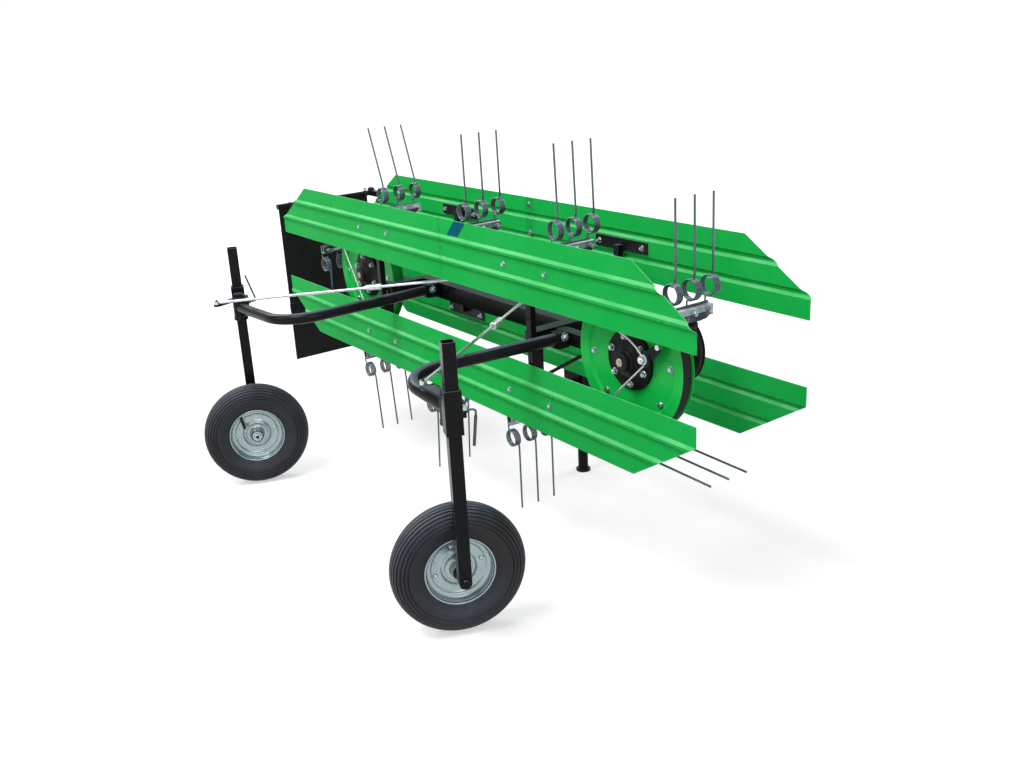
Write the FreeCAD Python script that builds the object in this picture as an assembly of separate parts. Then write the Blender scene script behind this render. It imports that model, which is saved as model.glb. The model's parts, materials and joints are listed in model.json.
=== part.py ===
"""Belt hay tedder for a two-wheel tractor, built in millimetres.

X runs along the working width, Y points to the tractor, Z is up and the
wheels stand on Z = 0.  Every named piece goes to parts/NAME.step.
"""
import FreeCAD, Part
import math
import os

V = FreeCAD.Vector
os.makedirs("parts", exist_ok=True)

# ---- driving sizes -------------------------------------------------------
CENTRE_Z = 790.0        # level midway between upper and lower plates
PLATE_Y = 224.0         # sheet plates stand this far in front and behind
PLATE_LONG = 2530.0     # length of a plate's longer edge
PLATE_SHORT = 2040.0    # length of its shorter edge
PLATE_GAP = 200.0       # opening between upper and lower plate
PLATE_H = 217.0         # height of one plate
PLATE_T = 3.0
PLATE_EDGE = 62.0       # short upright edge at the plate's ends
RIB_H = 9.0             # how far a rib stands out
RIB_W = 24.0
RIB_LEVELS = (72.0, 149.0)   # rib centres above the plate's longer edge

AXLE_LEFT = -648.0      # belt pulley centres along X
AXLE_RIGHT = 932.0
AXLE_Z = CENTRE_Z - 6.0
BELT_Y = -135.0         # middle plane of the tine belt
BELT_R = 212.0          # outer radius of the belt on its pulleys
BELT_T = 14.0
BELT_W = 35.0
LEAVE = 9.4             # degrees past the bottom where the slack belt leaves
PULLEY_R = 218.0
PULLEY_W = BELT_W + 11.0
DRIVE_Y = 25.0          # plane of the drive belt
DRIVE_R = 112.0
DRIVER_R = 55.0
DRIVER_X = 165.0

FRONT_POSTS = (-437.0, 529.0)   # plate posts along X
REAR_POSTS = (-499.0, 484.0)
POST = 22.0             # side of a post's square tube
POST_DEEP = 46.0        # depth of a front post's lower half
BEAM_RIGHT = 504.0
BEAM_LEFT = -403.0      # left cross beam, set in to clear the pulley
POST_Y = 205.5
BEAM = 50.0
RAIL = 60.0
RAIL_Y = -20.0

PIVOT_X = 756.0         # castor pivots
PIVOT_Y = -674.0
STEER = -21.0           # direction of both wheel axles, degrees from X
LEG = 38.0
SLEEVE = 50.0
LEG_OFF = 56.0          # leg centre from the castor pivot
WHEEL_OFF = 90.0        # wheel centre from the leg centre
LEG_TOPS = {-1: CENTRE_Z + 163.0, 1: CENTRE_Z + 144.0}   # left and right leg
LEG_WALL = 3.0
MOUTH = 32.0            # depth of the open end above the leg's inner plug
SLEEVE_LOW = CENTRE_Z - 122.0
SLEEVE_TOP = CENTRE_Z + 8.0
LEVER_Z = CENTRE_Z - 28.0
LEVER_LEN = 112.0
LEVER_LEFT = -68.0      # lever directions in degrees from X
LEVER_RIGHT = 184.5
ARM_R = 20.0

TYRE_R = 207.0
TYRE_W = 105.0
RIM_R = 109.0
RIM_W = 74.0
BEAD_R = 101.5
AXLE_R = 10.0

HITCH_X = 165.0
HITCH_Z = CENTRE_Z - 385.0
SWIVEL_Y = 375.0        # upright swivel axis of the coupling
SWIVEL_R = 15.0
ROD_PIN_Y = 176.0       # common pin of both tie rods
ROD_PIN_Z = CENTRE_Z + 80.0

STAND_X = 90.0
STAND_Y = 348.0
STAND_R = 20.0
STAND_TOP = HITCH_Z + 155.0

BOARD_X = -PLATE_LONG / 2 - 25.0   # swath board hung beyond the left end
BOARD_HALF = 236.0
BOARD_LOW = CENTRE_Z - 508.0
BOARD_BAR_Z = CENTRE_Z + 210.0

TINE_PITCH = 70.0
TINE_R = 3.0
TINE_LEN = 255.0        # coil centre to tip
COIL_R = 31.0
COIL_W = 21.0
WIRE_ASIDE = 18.0       # offset of the hanging wires from the coil's middle
TOP_RISE = 142.0        # coil centre above the upper run of the belt
ROOT_LEN = 18.0         # from the coil down to its rail
ROOT_Y = -6.5           # roots leave the coils at their near ends
RAIL_SHIFT = -4.0       # middle of the rail from the belt's middle plane
RAIL_B = 26.0           # channel rail under three coils
RAIL_H = 30.0
RAIL_T = 4.0
FIT = 0.5               # sliding gap of legs and stand in their sleeves
RUN = 0.3               # running gap of pivots

nodes = {}


# ---- small helpers -------------------------------------------------------
def box(x0, x1, y0, y1, z0, z1):
    return Part.makeBox(x1 - x0, y1 - y0, z1 - z0, V(x0, y0, z0))


def rod(a, b, r):
    d = b.sub(a)
    return Part.makeCylinder(r, d.Length, a, d)


def tube(a, b, r, ri):
    return rod(a, b, r).cut(rod(a, b, ri))


def bar(a, b, wide, high, up=V(0, 0, 1)):
    """A straight rectangular bar from a to b."""
    n = b.sub(a).normalize()
    side = up.cross(n).normalize()
    top = n.cross(side).normalize()
    p = [a + side * (s * wide / 2) + top * (t * high / 2)
         for s, t in ((-1, -1), (1, -1), (1, 1), (-1, 1))]
    face = Part.Face(Part.makePolygon(p + [p[0]]))
    return face.extrude(b.sub(a))


def prism_y(points, y0, y1):
    """A flat shape drawn in X and Z, thickened along Y."""
    w = Part.makePolygon([V(x, y0, z) for x, z in points + points[:1]])
    return Part.Face(w).extrude(V(0, y1 - y0, 0))


def prism_z(points, z0, z1):
    w = Part.makePolygon([V(x, y, z0) for x, y in points + points[:1]])
    return Part.Face(w).extrude(V(0, 0, z1 - z0))


def turned(profile, centre, axis):
    """A solid of revolution from (radius, along) points."""
    w = Part.makePolygon([V(r, 0, s) for r, s in profile + profile[:1]])
    shape = Part.Face(w).revolve(V(0, 0, 0), V(0, 0, 1), 360)
    shape.Placement = FreeCAD.Placement(
        centre, FreeCAD.Rotation(V(0, 0, 1), axis))
    return shape


def bent_tube(a, b, c, r, bend):
    """A round tube from a to c with one bend of the given radius at b."""
    u = (a - b).normalize()
    v = (c - b).normalize()
    half = u.getAngle(v) / 2
    step = bend / math.tan(half)
    t1, t2 = b + u * step, b + v * step
    mid = b + (u + v).normalize() * (bend / math.sin(half) - bend)
    path = Part.Wire([Part.makeLine(a, t1), Part.Arc(t1, mid, t2).toShape(),
                      Part.makeLine(t2, c)])
    ring = Part.Wire([Part.makeCircle(r, a, (b - a).normalize())])
    return path.makePipeShell([ring], True, False)


def fuse(*shapes):
    out = shapes[0].multiFuse(list(shapes[1:])) if len(shapes) > 1 else shapes[0]
    return out.removeSplitter()


def at_wheel(side, along, across=0.0, z=0.0):
    """A point given along the steered axle direction from the pivot."""
    a = math.radians(STEER)
    return V(side * PIVOT_X + along * math.cos(a) - across * math.sin(a),
             PIVOT_Y + along * math.sin(a) + across * math.cos(a), z)


def steer_turn(shape, side):
    """Turn a shape built about the pivot with its axle along X."""
    shape.rotate(V(0, 0, 0), V(0, 0, 1), STEER)
    shape.translate(V(side * PIVOT_X, PIVOT_Y, 0))
    return shape


# ---- sheet plates --------------------------------------------------------
def rib_line():
    """Section of a plate: (y, height) points from the longer edge."""
    pts = [(0.0, 0.0)]
    for level in RIB_LEVELS:
        half = RIB_W / 2
        pts += [(0.0, level - half), (RIB_H, level - half + 8.0),
                (RIB_H, level + half - 8.0), (0.0, level + half)]
    pts.append((0.0, PLATE_H))
    return pts


def plate(front, upper):
    side = -1.0 if front else 1.0
    up = 1.0 if upper else -1.0
    line = rib_line()
    outer = [(side * (PLATE_Y + y + PLATE_T / 2), h) for y, h in line]
    inner = [(side * (PLATE_Y + y - PLATE_T / 2), h) for y, h in line]
    ring = outer + inner[::-1]
    base = CENTRE_Z + up * PLATE_GAP / 2
    half = PLATE_LONG / 2
    pts = [V(-half, y, base + up * h) for y, h in ring]
    sheet = Part.Face(Part.makePolygon(pts + pts[:1])).extrude(V(PLATE_LONG, 0, 0))
    top = PLATE_SHORT / 2
    shape = [(-half, base), (half, base), (half, base + up * PLATE_EDGE),
             (top, base + up * PLATE_H), (-top, base + up * PLATE_H),
             (-half, base + up * PLATE_EDGE)]
    mask = prism_y(shape, side * PLATE_Y - 30, side * PLATE_Y + 30)
    return sheet.common(mask)


for front in (True, False):
    for upper in (True, False):
        name = "%s_%s_plate" % ("front" if front else "rear",
                                "upper" if upper else "lower")
        nodes[name] = plate(front, upper)


# ---- frame ---------------------------------------------------------------
def main_rail():
    """Square tube between the two cross beams."""
    x0 = BEAM_LEFT + 20.0 + 0.2
    x1 = BEAM_RIGHT - BEAM / 2 - 0.2
    y0, y1 = RAIL_Y - RAIL / 2, RAIL_Y + RAIL / 2
    return box(x0, x1, y0, y1, CENTRE_Z - RAIL, CENTRE_Z)


def right_cross_beam():
    y = POST_Y - POST / 2 - 0.2
    x0, x1 = BEAM_RIGHT - BEAM / 2, BEAM_RIGHT + BEAM / 2
    return box(x0, x1, -y, y, CENTRE_Z - BEAM, CENTRE_Z)


def left_cross_beam():
    """Beam beside the pulley with a bar out to the post at each end."""
    y = POST_Y - POST / 2 - 0.2
    x = BEAM_LEFT
    beam = box(x - 20, x + 20, -y, y, CENTRE_Z - BEAM, CENTRE_Z)
    bars = [box(post - 15, x, y0, y0 + 27, CENTRE_Z - 30, CENTRE_Z)
            for post, y0 in ((FRONT_POSTS[0], -y), (REAR_POSTS[0], y - 27))]
    return fuse(beam, *bars)


def plate_post(x, side):
    """Upright square tube with a flat bar for each of its two plates."""
    y, h = side * POST_Y, POST / 2
    reach = PLATE_GAP / 2 + 112.0
    shapes = [box(x - h, x + h, y - h, y + h, CENTRE_Z - reach, CENTRE_Z + reach)]
    if side < 0:
        shapes.append(box(x - h, x + h, y - h, y - h + POST_DEEP,
                          CENTRE_Z - reach, CENTRE_Z - BEAM - 0.2))
    face = side * (PLATE_Y - PLATE_T / 2)
    y0, y1 = sorted((face, face - side * 6.0))
    for up in (-1, 1):
        z = CENTRE_Z + up * reach
        shapes.append(box(x - 127, x + 127, y0, y1, z - 20, z + 20))
    return fuse(*shapes)


nodes["main_rail"] = main_rail()
nodes["cross_beams"] = Part.makeCompound([left_cross_beam(), right_cross_beam()])
nodes["front_plate_posts"] = Part.makeCompound(
    [plate_post(x, -1) for x in FRONT_POSTS])
nodes["rear_plate_posts"] = Part.makeCompound(
    [plate_post(x, 1) for x in REAR_POSTS])


# ---- belt pulleys, shafts and bearing arms -------------------------------
FRONT_Y = BELT_Y - PULLEY_W / 2
AXIS_Y = V(0, 1, 0)


def belt_pulley(x):
    """Two dished sheet flanges with the belt groove between them."""
    w = PULLEY_W
    pts = [(92, 10), (174, 10), (182, 2), (200, 2), (PULLEY_R, 0),
           (PULLEY_R, 2.5), (BELT_R - BELT_T, 5), (BELT_R - BELT_T, w - 5),
           (PULLEY_R, w - 2.5), (PULLEY_R, w), (200, w - 2), (192, w - 2),
           (192, 8), (186, 8), (178, 14), (92, 14)]
    return turned(pts, V(x, FRONT_Y, AXLE_Z), AXIS_Y)


def pulley_hub(x):
    """Bolted hub plate with its boss and the bare shaft end."""
    pts = [(0, -39), (11.5, -39), (12.5, -38), (12.5, -36), (27, -36), (30, -33),
           (31, -22), (37, -18), (38, -14), (52, -6), (91, 0), (91, 14),
           (98, 14.2), (98, 20), (40, 20), (40, PULLEY_W - 2), (0, PULLEY_W - 2)]
    return turned(pts, V(x, FRONT_Y, AXLE_Z), AXIS_Y)


HOUSE_END = DRIVE_Y - 78.7


def bearing_arm(x, post):
    """Housing behind the pulley on a beam from the cross beam's face."""
    y0 = FRONT_Y + PULLEY_W - 2.0 + RUN
    house = rod(V(x, y0, AXLE_Z), V(x, HOUSE_END, AXLE_Z), 48)
    z1 = CENTRE_Z - 4.0
    y1 = y0 + 4.0
    x0, x1 = sorted((post, x))
    beam = box(x0, x1, y1, y1 + 40, z1 - 42, z1)
    return fuse(house, beam)


nodes["left_belt_pulley"] = belt_pulley(AXLE_LEFT)
nodes["right_belt_pulley"] = belt_pulley(AXLE_RIGHT)
nodes["pulley_hubs"] = Part.makeCompound([pulley_hub(AXLE_LEFT), pulley_hub(AXLE_RIGHT)])
nodes["bearing_arms"] = Part.makeCompound(
    [bearing_arm(AXLE_LEFT, BEAM_LEFT - 20.2),
     bearing_arm(AXLE_RIGHT, BEAM_RIGHT + BEAM / 2 + 0.2)])


# ---- tine belt -----------------------------------------------------------
def belt_low(x):
    """Height of the slack lower run's outer face at x."""
    t = math.radians(LEAVE)
    x0 = AXLE_LEFT - BELT_R * math.sin(t)
    x1 = AXLE_RIGHT + BELT_R * math.sin(t)
    h = (x1 - x0) / 2
    m = (x0 + x1) / 2
    sag = math.tan(t) * h / 2
    return AXLE_Z - BELT_R * math.cos(t) - sag * (1 - ((x - m) / h) ** 2)


def belt_ring(r):
    """Closed face inside a belt surface of radius r."""
    t = math.radians(LEAVE)
    top_l = V(AXLE_LEFT, 0, AXLE_Z + r)
    top_r = V(AXLE_RIGHT, 0, AXLE_Z + r)
    low_r = V(AXLE_RIGHT + r * math.sin(t), 0, AXLE_Z - r * math.cos(t))
    low_l = V(AXLE_LEFT - r * math.sin(t), 0, AXLE_Z - r * math.cos(t))
    out = r - BELT_R
    pts = [low_r]
    x0 = AXLE_LEFT - BELT_R * math.sin(t)
    x1 = AXLE_RIGHT + BELT_R * math.sin(t)
    h = (x1 - x0) / 2
    for k in range(1, 12):
        x = x1 + (x0 - x1) * k / 12.0
        slope = math.tan(t) * (x - (x0 + x1) / 2) / h
        n = V(slope, 0, -1).normalize()
        pts.append(V(x, 0, belt_low(x)) + n * out)
    pts.append(low_l)
    curve = Part.BSplineCurve()
    ends = V(-math.cos(t), 0, -math.sin(t)), V(-math.cos(t), 0, math.sin(t))
    curve.interpolate(Points=pts, InitialTangent=ends[0] * h, FinalTangent=ends[1] * h)
    arc_r = Part.Arc(top_r, V(AXLE_RIGHT + r, 0, AXLE_Z), low_r).toShape()
    arc_l = Part.Arc(low_l, V(AXLE_LEFT - r, 0, AXLE_Z), top_l).toShape()
    line = Part.makeLine(top_l, top_r)
    return Part.Face(Part.Wire([line, arc_r, curve.toShape(), arc_l]))


def tine_belt():
    seat = 0.3
    outer = belt_ring(BELT_R).extrude(V(0, BELT_W, 0))
    inner = belt_ring(BELT_R - BELT_T + seat).extrude(V(0, BELT_W, 0))
    ring = outer.cut(inner)
    ring.translate(V(0, BELT_Y - BELT_W / 2, 0))
    return ring


nodes["tine_belt"] = tine_belt()


# ---- tine units ----------------------------------------------------------
# each unit: foot on the belt and its outward direction, coil centre (x, z),
# tine angle, group, how far aside the wire leaves
def on_pulley(x, angle):
    a = math.radians(angle)
    out = V(math.cos(a), 0, math.sin(a))
    return V(x, BELT_Y, AXLE_Z) + out * BELT_R, out


def top_unit(x, lean):
    foot = V(x, BELT_Y, AXLE_Z + BELT_R), V(0, 0, 1)
    return foot, (x, AXLE_Z + BELT_R + TOP_RISE), 90.0 + lean, "top", 0.0


def on_low_run(x):
    slope = (belt_low(x + 1.0) - belt_low(x - 1.0)) / 2.0
    return V(x, BELT_Y, belt_low(x)), V(slope, 0, -1).normalize()


def low_unit(x, drop, lean):
    return on_low_run(x), (x, AXLE_Z - drop), -90.0 + lean, "lower", WIRE_ASIDE


UNITS = [
    top_unit(-371.0, 16.5), top_unit(178.0, -2.0), top_unit(669.0, -0.5),
    (on_pulley(AXLE_RIGHT, 40.0), (1158.0, AXLE_Z + 246.0), 88.5, "top", 0.0),
    (on_low_run(940.0), (1044.0, AXLE_Z - 243.0), 0.0, "end", -WIRE_ASIDE),
    low_unit(395.0, 394.0, 2.5), low_unit(-126.0, 416.0, -1.0),
    low_unit(-612.0, 393.0, 9.5),
    (on_pulley(AXLE_LEFT, 158.0), (-925.0, AXLE_Z + 6.0), -90.0, "end", WIRE_ASIDE),
]


def tine_bracket(foot, coil, angle):
    """Pad on the belt, flat neck and the channel rail that holds three coils."""
    a = math.radians(angle)
    n = V(math.cos(a), 0, math.sin(a))
    f, out = foot
    base = V(coil[0], BELT_Y + RAIL_SHIFT, coil[1]) - n * (COIL_R + ROOT_LEN + RAIL_H / 2)
    half = V(0, TINE_PITCH + 6.0, 0)
    rail = bar(base - half, base + half, RAIL_B, RAIL_H, n)
    inside = base - n * RAIL_T
    rail = rail.cut(bar(inside - half * 2, inside + half * 2, RAIL_B - 2 * RAIL_T, RAIL_H, n))
    start = f + out * 8.5
    neck = (base - start).normalize()
    end = base + n * (RAIL_H / 2 - RAIL_T + 0.8)
    low = V(0, 18, 0)
    p = [start - low, start + low, end + half * 0.7, end - half * 0.7]
    thick = neck.cross(V(0, 1, 0)) * 8.0
    web = Part.Face(Part.makePolygon([q - thick * 0.5 for q in p + p[:1]])).extrude(thick)
    mid = f + out * 4.8
    pad = bar(mid - V(0, 15.5, 0), mid + V(0, 15.5, 0), 44.0, 9.0, out)
    over = n * (RAIL_H / 2 + 5.0)
    clear = bar(base - half + over, base + half + over, RAIL_B * 2, 10.0, n)
    return fuse(rail, web, pad).cut(clear)


def tine(coil, angle, k, aside):
    """One spring tine: coil, straight wire leaving it aside, root at its near end."""
    a = math.radians(angle)
    n = V(math.cos(a), 0, math.sin(a))
    t = V(0, 1, 0).cross(n)
    c = V(coil[0], BELT_Y + k * TINE_PITCH, coil[1])
    y = V(0, COIL_W / 2, 0)
    ring = tube(c - y, c + y, COIL_R, COIL_R - 2 * TINE_R)
    edge = t * -aside
    start = n * (math.sqrt((COIL_R - TINE_R) ** 2 - aside ** 2) - TINE_R)
    wire = rod(c + edge + start, c + edge + n * TINE_LEN, TINE_R)
    foot = c + V(0, ROOT_Y, 0)
    root = rod(foot - n * (COIL_R - TINE_R), foot - n * (COIL_R + ROOT_LEN - 0.3), TINE_R)
    return fuse(ring, wire, root)


brackets = [tine_bracket(f, c, a) for f, c, a, g, w in UNITS]
nodes["tine_brackets"] = Part.makeCompound(brackets)
for group in ("top", "lower", "end"):
    nodes[group + "_spring_tines"] = Part.makeCompound(
        [tine(c, a, k, w) for f, c, a, g, w in UNITS if g == group for k in (-1, 0, 1)])


# ---- drive to the right pulley -------------------------------------------
def grooved(x, z, r, bore_y0, bore_y1):
    """A small V-belt pulley with its length of shaft."""
    h = 15.0
    pts = [(0, bore_y0), (14, bore_y0), (14, -h), (r, -h), (r, -h + 4),
           (r - 12, -h + 8), (r - 12, h - 8), (r, h - 4), (r, h), (14, h),
           (14, bore_y1), (0, bore_y1)]
    return turned(pts, V(x, DRIVE_Y, z), AXIS_Y)


def drive_belt():
    """Open V-belt round the driven and the driving pulley."""
    x0, z0, r0 = AXLE_RIGHT, AXLE_Z, DRIVE_R - 1.0
    x1, z1, r1 = DRIVER_X, HITCH_Z, DRIVER_R - 1.0
    d = math.hypot(x1 - x0, z1 - z0)
    base = math.atan2(z1 - z0, x1 - x0)

    def loop(a, b):
        off = math.acos((a - b) / d)
        pa = [V(x0 + a * math.cos(base + s * off), 0, z0 + a * math.sin(base + s * off))
              for s in (1, -1)]
        pb = [V(x1 + b * math.cos(base + s * off), 0, z1 + b * math.sin(base + s * off))
              for s in (1, -1)]
        far = V(x0 - a * math.cos(base), 0, z0 - a * math.sin(base))
        near = V(x1 + b * math.cos(base), 0, z1 + b * math.sin(base))
        return Part.Face(Part.Wire([
            Part.makeLine(pb[0], pa[0]), Part.Arc(pa[0], far, pa[1]).toShape(),
            Part.makeLine(pa[1], pb[1]), Part.Arc(pb[1], near, pb[0]).toShape()]))
    ring = loop(r0, r1).extrude(V(0, 13, 0)).cut(
        loop(r0 - 10.7, r1 - 10.7).extrude(V(0, 13, 0)))
    ring.translate(V(0, DRIVE_Y - 6.5, 0))
    return ring


shaft_back = HOUSE_END + RUN - DRIVE_Y
nodes["drive_pulleys"] = Part.makeCompound([
    grooved(AXLE_RIGHT, AXLE_Z, DRIVE_R, shaft_back, 30.0),
    grooved(DRIVER_X, HITCH_Z, DRIVER_R, -20.0, 34.7)])
nodes["drive_belt"] = drive_belt()


def gearbox():
    """Angle gearbox with the tube of its shaft to the driving pulley."""
    body = box(HITCH_X - 45, HITCH_X + 45, 245, 320, HITCH_Z - 55, HITCH_Z + 55)
    body = body.makeFillet(10, [e for e in body.Edges if abs(e.tangentAt(
        e.FirstParameter).y) > 0.9])
    neck = rod(V(HITCH_X, 60, HITCH_Z), V(HITCH_X, 246, HITCH_Z), 26)
    cover = rod(V(HITCH_X, 319, HITCH_Z), V(HITCH_X, 326, HITCH_Z), 40)
    return fuse(body, neck, cover)


def hitch_boom():
    """Tube from the rail through the rear gap, then down to the gearbox."""
    x, z1 = HITCH_X, CENTRE_Z
    back = RAIL_Y + RAIL / 2 + 0.2
    shapes = [box(x - 25, x + 25, back, 300, z1 - BEAM, z1),
              box(x - 25, x + 25, 250, 300, HITCH_Z + 55.2, z1)]
    for z in (HITCH_Z + 64, HITCH_Z - 76):
        lug = box(x - 32, x + 32, 250, SWIVEL_Y, z, z + 12)
        lug = lug.fuse(rod(V(x, SWIVEL_Y, z), V(x, SWIVEL_Y, z + 12), 32))
        bore = rod(V(x, SWIVEL_Y, z - 1), V(x, SWIVEL_Y, z + 13), SWIVEL_R + RUN)
        shapes.append(lug.cut(bore))
    shapes.append(box(x - 32, x + 32, 321, 327, HITCH_Z - 76, HITCH_Z - 41))
    shapes.append(box(x - 32, x + 32, 321, 327, HITCH_Z + 41, HITCH_Z + 76))
    side = box(x - 55, x - 45.2, 250, 318, HITCH_Z - 76, HITCH_Z + 64)
    shapes.append(side)
    shapes.append(box(x + 45.2, x + 55, 250, 318, HITCH_Z - 76, HITCH_Z + 64))
    for z in (HITCH_Z - 76, HITCH_Z + 64):
        shapes.append(box(x - 55, x + 55, 250, 318, z, z + 12))
    return fuse(*shapes)


nodes["gearbox"] = gearbox()
nodes["hitch_boom"] = hitch_boom()


# ---- coupling and steering arm -------------------------------------------
def coupling_head():
    """Swivelling head with the round spigot that enters the tractor."""
    x, y, z = HITCH_X, SWIVEL_Y, HITCH_Z
    low, high = z - 64 + RUN, z + 64 - RUN
    barrel = rod(V(x, y, low), V(x, y, high), 30)
    flange = rod(V(x, y + 34, z), V(x, y + 52, z), 62)
    web = box(x - 26, x + 26, y, y + 36, z - 45, z + 45)
    spigot = rod(V(x, y + 50, z), V(x, y + 112, z), 28)
    mouth = rod(V(x, y + 70, z), V(x, y + 113, z), 19)
    pin = rod(V(x, y, z - 84), V(x, y, low + 1), SWIVEL_R)
    head = fuse(barrel, web, flange, spigot).cut(mouth)
    return fuse(head, pin)


def steering_arm():
    """Upright pin of the coupling with the arm that pulls the tie rods."""
    x, y = HITCH_X, SWIVEL_Y
    up = rod(V(x, y, HITCH_Z + 64), V(x, y, ROD_PIN_Z - 8), SWIVEL_R)
    arm = prism_z([(x - 20, y + 20), (x + 20, y + 20), (x + 15, ROD_PIN_Y - 16),
                   (x - 15, ROD_PIN_Y - 16)], ROD_PIN_Z - 16, ROD_PIN_Z - 8)
    pin = rod(V(x, ROD_PIN_Y, ROD_PIN_Z - 34), V(x, ROD_PIN_Y, ROD_PIN_Z + 14), 6)
    return fuse(up, arm, pin)


def pto_dog():
    x, y, z = HITCH_X, SWIVEL_Y, HITCH_Z
    return rod(V(x, y + 70.2, z), V(x, y + 104, z), 11)


nodes["coupling_head"] = coupling_head()
nodes["steering_arm"] = steering_arm()
nodes["pto_dog"] = pto_dog()


# ---- castor arms ---------------------------------------------------------
# root, bend point and bend radius of each arm
ARM_LEFT = (V(-290, -100, CENTRE_Z - 25), V(-345, -664, CENTRE_Z - 49), 160.0)
ARM_RIGHT = (V(577, -150, CENTRE_Z - 22), V(470, -668, CENTRE_Z - 47), 105.0)
ARM_END_Z = CENTRE_Z - 65.0
BUSH_LOW = CENTRE_Z - 100.0
BUSH_TOP = CENTRE_Z - 35.0
PIN_R = 15.0


def castor_arm(line, side):
    """Bent round tube ending in the upright bush of the castor pivot."""
    x, y = side * PIVOT_X, PIVOT_Y
    root, bend = line[0], line[1]
    start = root + (root - bend).normalize() * 10
    body = bent_tube(start, bend, V(x - side * 16, y, ARM_END_Z), ARM_R, line[2])
    body = body.cut(box(root.x - 50, root.x + 50, root.y, root.y + 40, CENTRE_Z - 90, CENTRE_Z + 60))
    bush = rod(V(x, y, BUSH_LOW), V(x, y, BUSH_TOP), 25)
    inner = x - side * 130
    gusset = Part.Face(Part.makePolygon([
        V(x - side * 20, y - 4, BUSH_LOW + 4), V(x - side * 20, y - 4, BUSH_TOP - 20),
        V(inner, y - 4, ARM_END_Z + 2), V(inner, y - 4, ARM_END_Z - 11),
        V(x - side * 20, y - 4, BUSH_LOW + 4)])).extrude(V(0, 8, 0))
    bore = rod(V(x, y, BUSH_LOW - 1), V(x, y, BUSH_TOP + 1), PIN_R + RUN)
    return fuse(body, bush, gusset).cut(bore)


def arm_bracket(x, y_back, y_front):
    """Forked bracket that clamps the arm's root."""
    z1 = CENTRE_Z
    return box(x - 22, x + 22, y_front + 0.2, y_back - 0.2, z1 - 52, z1 - 1)


nodes["left_castor_arm"] = castor_arm(ARM_LEFT, -1)
nodes["right_castor_arm"] = castor_arm(ARM_RIGHT, 1)
nodes["arm_brackets"] = Part.makeCompound([
    arm_bracket(-290, RAIL_Y - RAIL / 2, -100.0),
    arm_bracket(577, FRONT_Y + PULLEY_W + 2.3, -150.0)])


# ---- steered sleeves, legs and wheels ------------------------------------
def lever_shape(angle):
    """Flat lever plate about the pivot, in the machine's directions."""
    a = math.radians(angle)
    tip = V(LEVER_LEN * math.cos(a), LEVER_LEN * math.sin(a), 0)
    across = V(-math.sin(a), math.cos(a), 0)
    z0 = LEVER_Z - 4
    pts = [across * 22, across * -22, tip + across * -13, tip + across * 13]
    w = Part.makePolygon([p + V(0, 0, z0) for p in pts + pts[:1]])
    body = Part.Face(w).extrude(V(0, 0, 8))
    disc = Part.makeCylinder(27, 8, V(0, 0, z0))
    end = Part.makeCylinder(13, 8, tip + V(0, 0, z0))
    return fuse(body, disc, end)


def castor_sleeve(side, lever):
    """Square sleeve with its pivot pin, collars and steering lever."""
    out = side * LEG_OFF
    h, i = SLEEVE / 2, LEG / 2 + FIT
    tube_ = box(out - h, out + h, -h, h, SLEEVE_LOW, SLEEVE_TOP)
    shapes = [tube_]
    z = BUSH_LOW - RUN - 12
    for z0, t in ((z, 12), (LEVER_Z - 4, 8)):
        x0, x1 = sorted((0, out))
        shapes.append(box(x0, x1, -22, 22, z0, z0 + t))
        shapes.append(Part.makeCylinder(27, t, V(0, 0, z0)))
    shapes.append(Part.makeCylinder(PIN_R, LEVER_Z + 20 - z, V(0, 0, z)))
    shapes.append(box(out - 14, out + 14, h - 1, h + 12, CENTRE_Z - 76, CENTRE_Z - 33))
    body = fuse(*shapes)
    body = body.cut(box(out - i, out + i, -i, i, SLEEVE_LOW - 1, SLEEVE_TOP + 1))
    body = steer_turn(body, side)
    plate_ = lever_shape(lever)
    plate_.translate(V(side * PIVOT_X, PIVOT_Y, 0))
    hole = box(out - i, out + i, -i, i, SLEEVE_LOW - 1, SLEEVE_TOP + 1)
    return fuse(body, plate_).cut(steer_turn(hole, side))


def clamp_handle(side, up):
    """Clamp screw with its bent handle on the machine side of the sleeve."""
    out = side * LEG_OFF
    y0 = SLEEVE / 2 + 12.2
    z = CENTRE_Z - 59.0
    screw = rod(V(out, y0, z), V(out, y0 + 6, z), 9)
    stem = rod(V(out, y0, z), V(out, y0 + 30, z), 4)
    knee = V(out, y0 + 30, z)
    if up:
        tip = knee + V(0, -32, 107)
    else:
        tip = knee + V(0, -12, -108)
    arm = rod(knee, tip, 4)
    ball = Part.makeSphere(4, knee)
    return steer_turn(fuse(screw, stem, ball, arm), side)


def leg(side):
    """Square leg ending in a round lug with the wheel axle."""
    out = side * LEG_OFF
    h = LEG / 2
    top = LEG_TOPS[side]
    body = box(out - h, out + h, -h, h, TYRE_R, top)
    lug = rod(V(out - h, 0, TYRE_R), V(out + h, 0, TYRE_R), h)
    inward = -side * (WHEEL_OFF + 44)
    axle = rod(V(out, 0, TYRE_R), V(out + inward, 0, TYRE_R), AXLE_R)
    shoulder = rod(V(out, 0, TYRE_R), V(out - side * (WHEEL_OFF - 40.3), 0, TYRE_R), 15)
    head = rod(V(out, 0, TYRE_R), V(out + side * (h + 9), 0, TYRE_R), 12)
    inner = h - LEG_WALL
    mouth = box(out - inner, out + inner, -inner, inner, top - MOUTH, top + 1)
    body = fuse(body, lug, axle, shoulder, head).cut(mouth)
    return steer_turn(body, side)


def wheel_centre(side):
    return side * (LEG_OFF - WHEEL_OFF)


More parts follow.
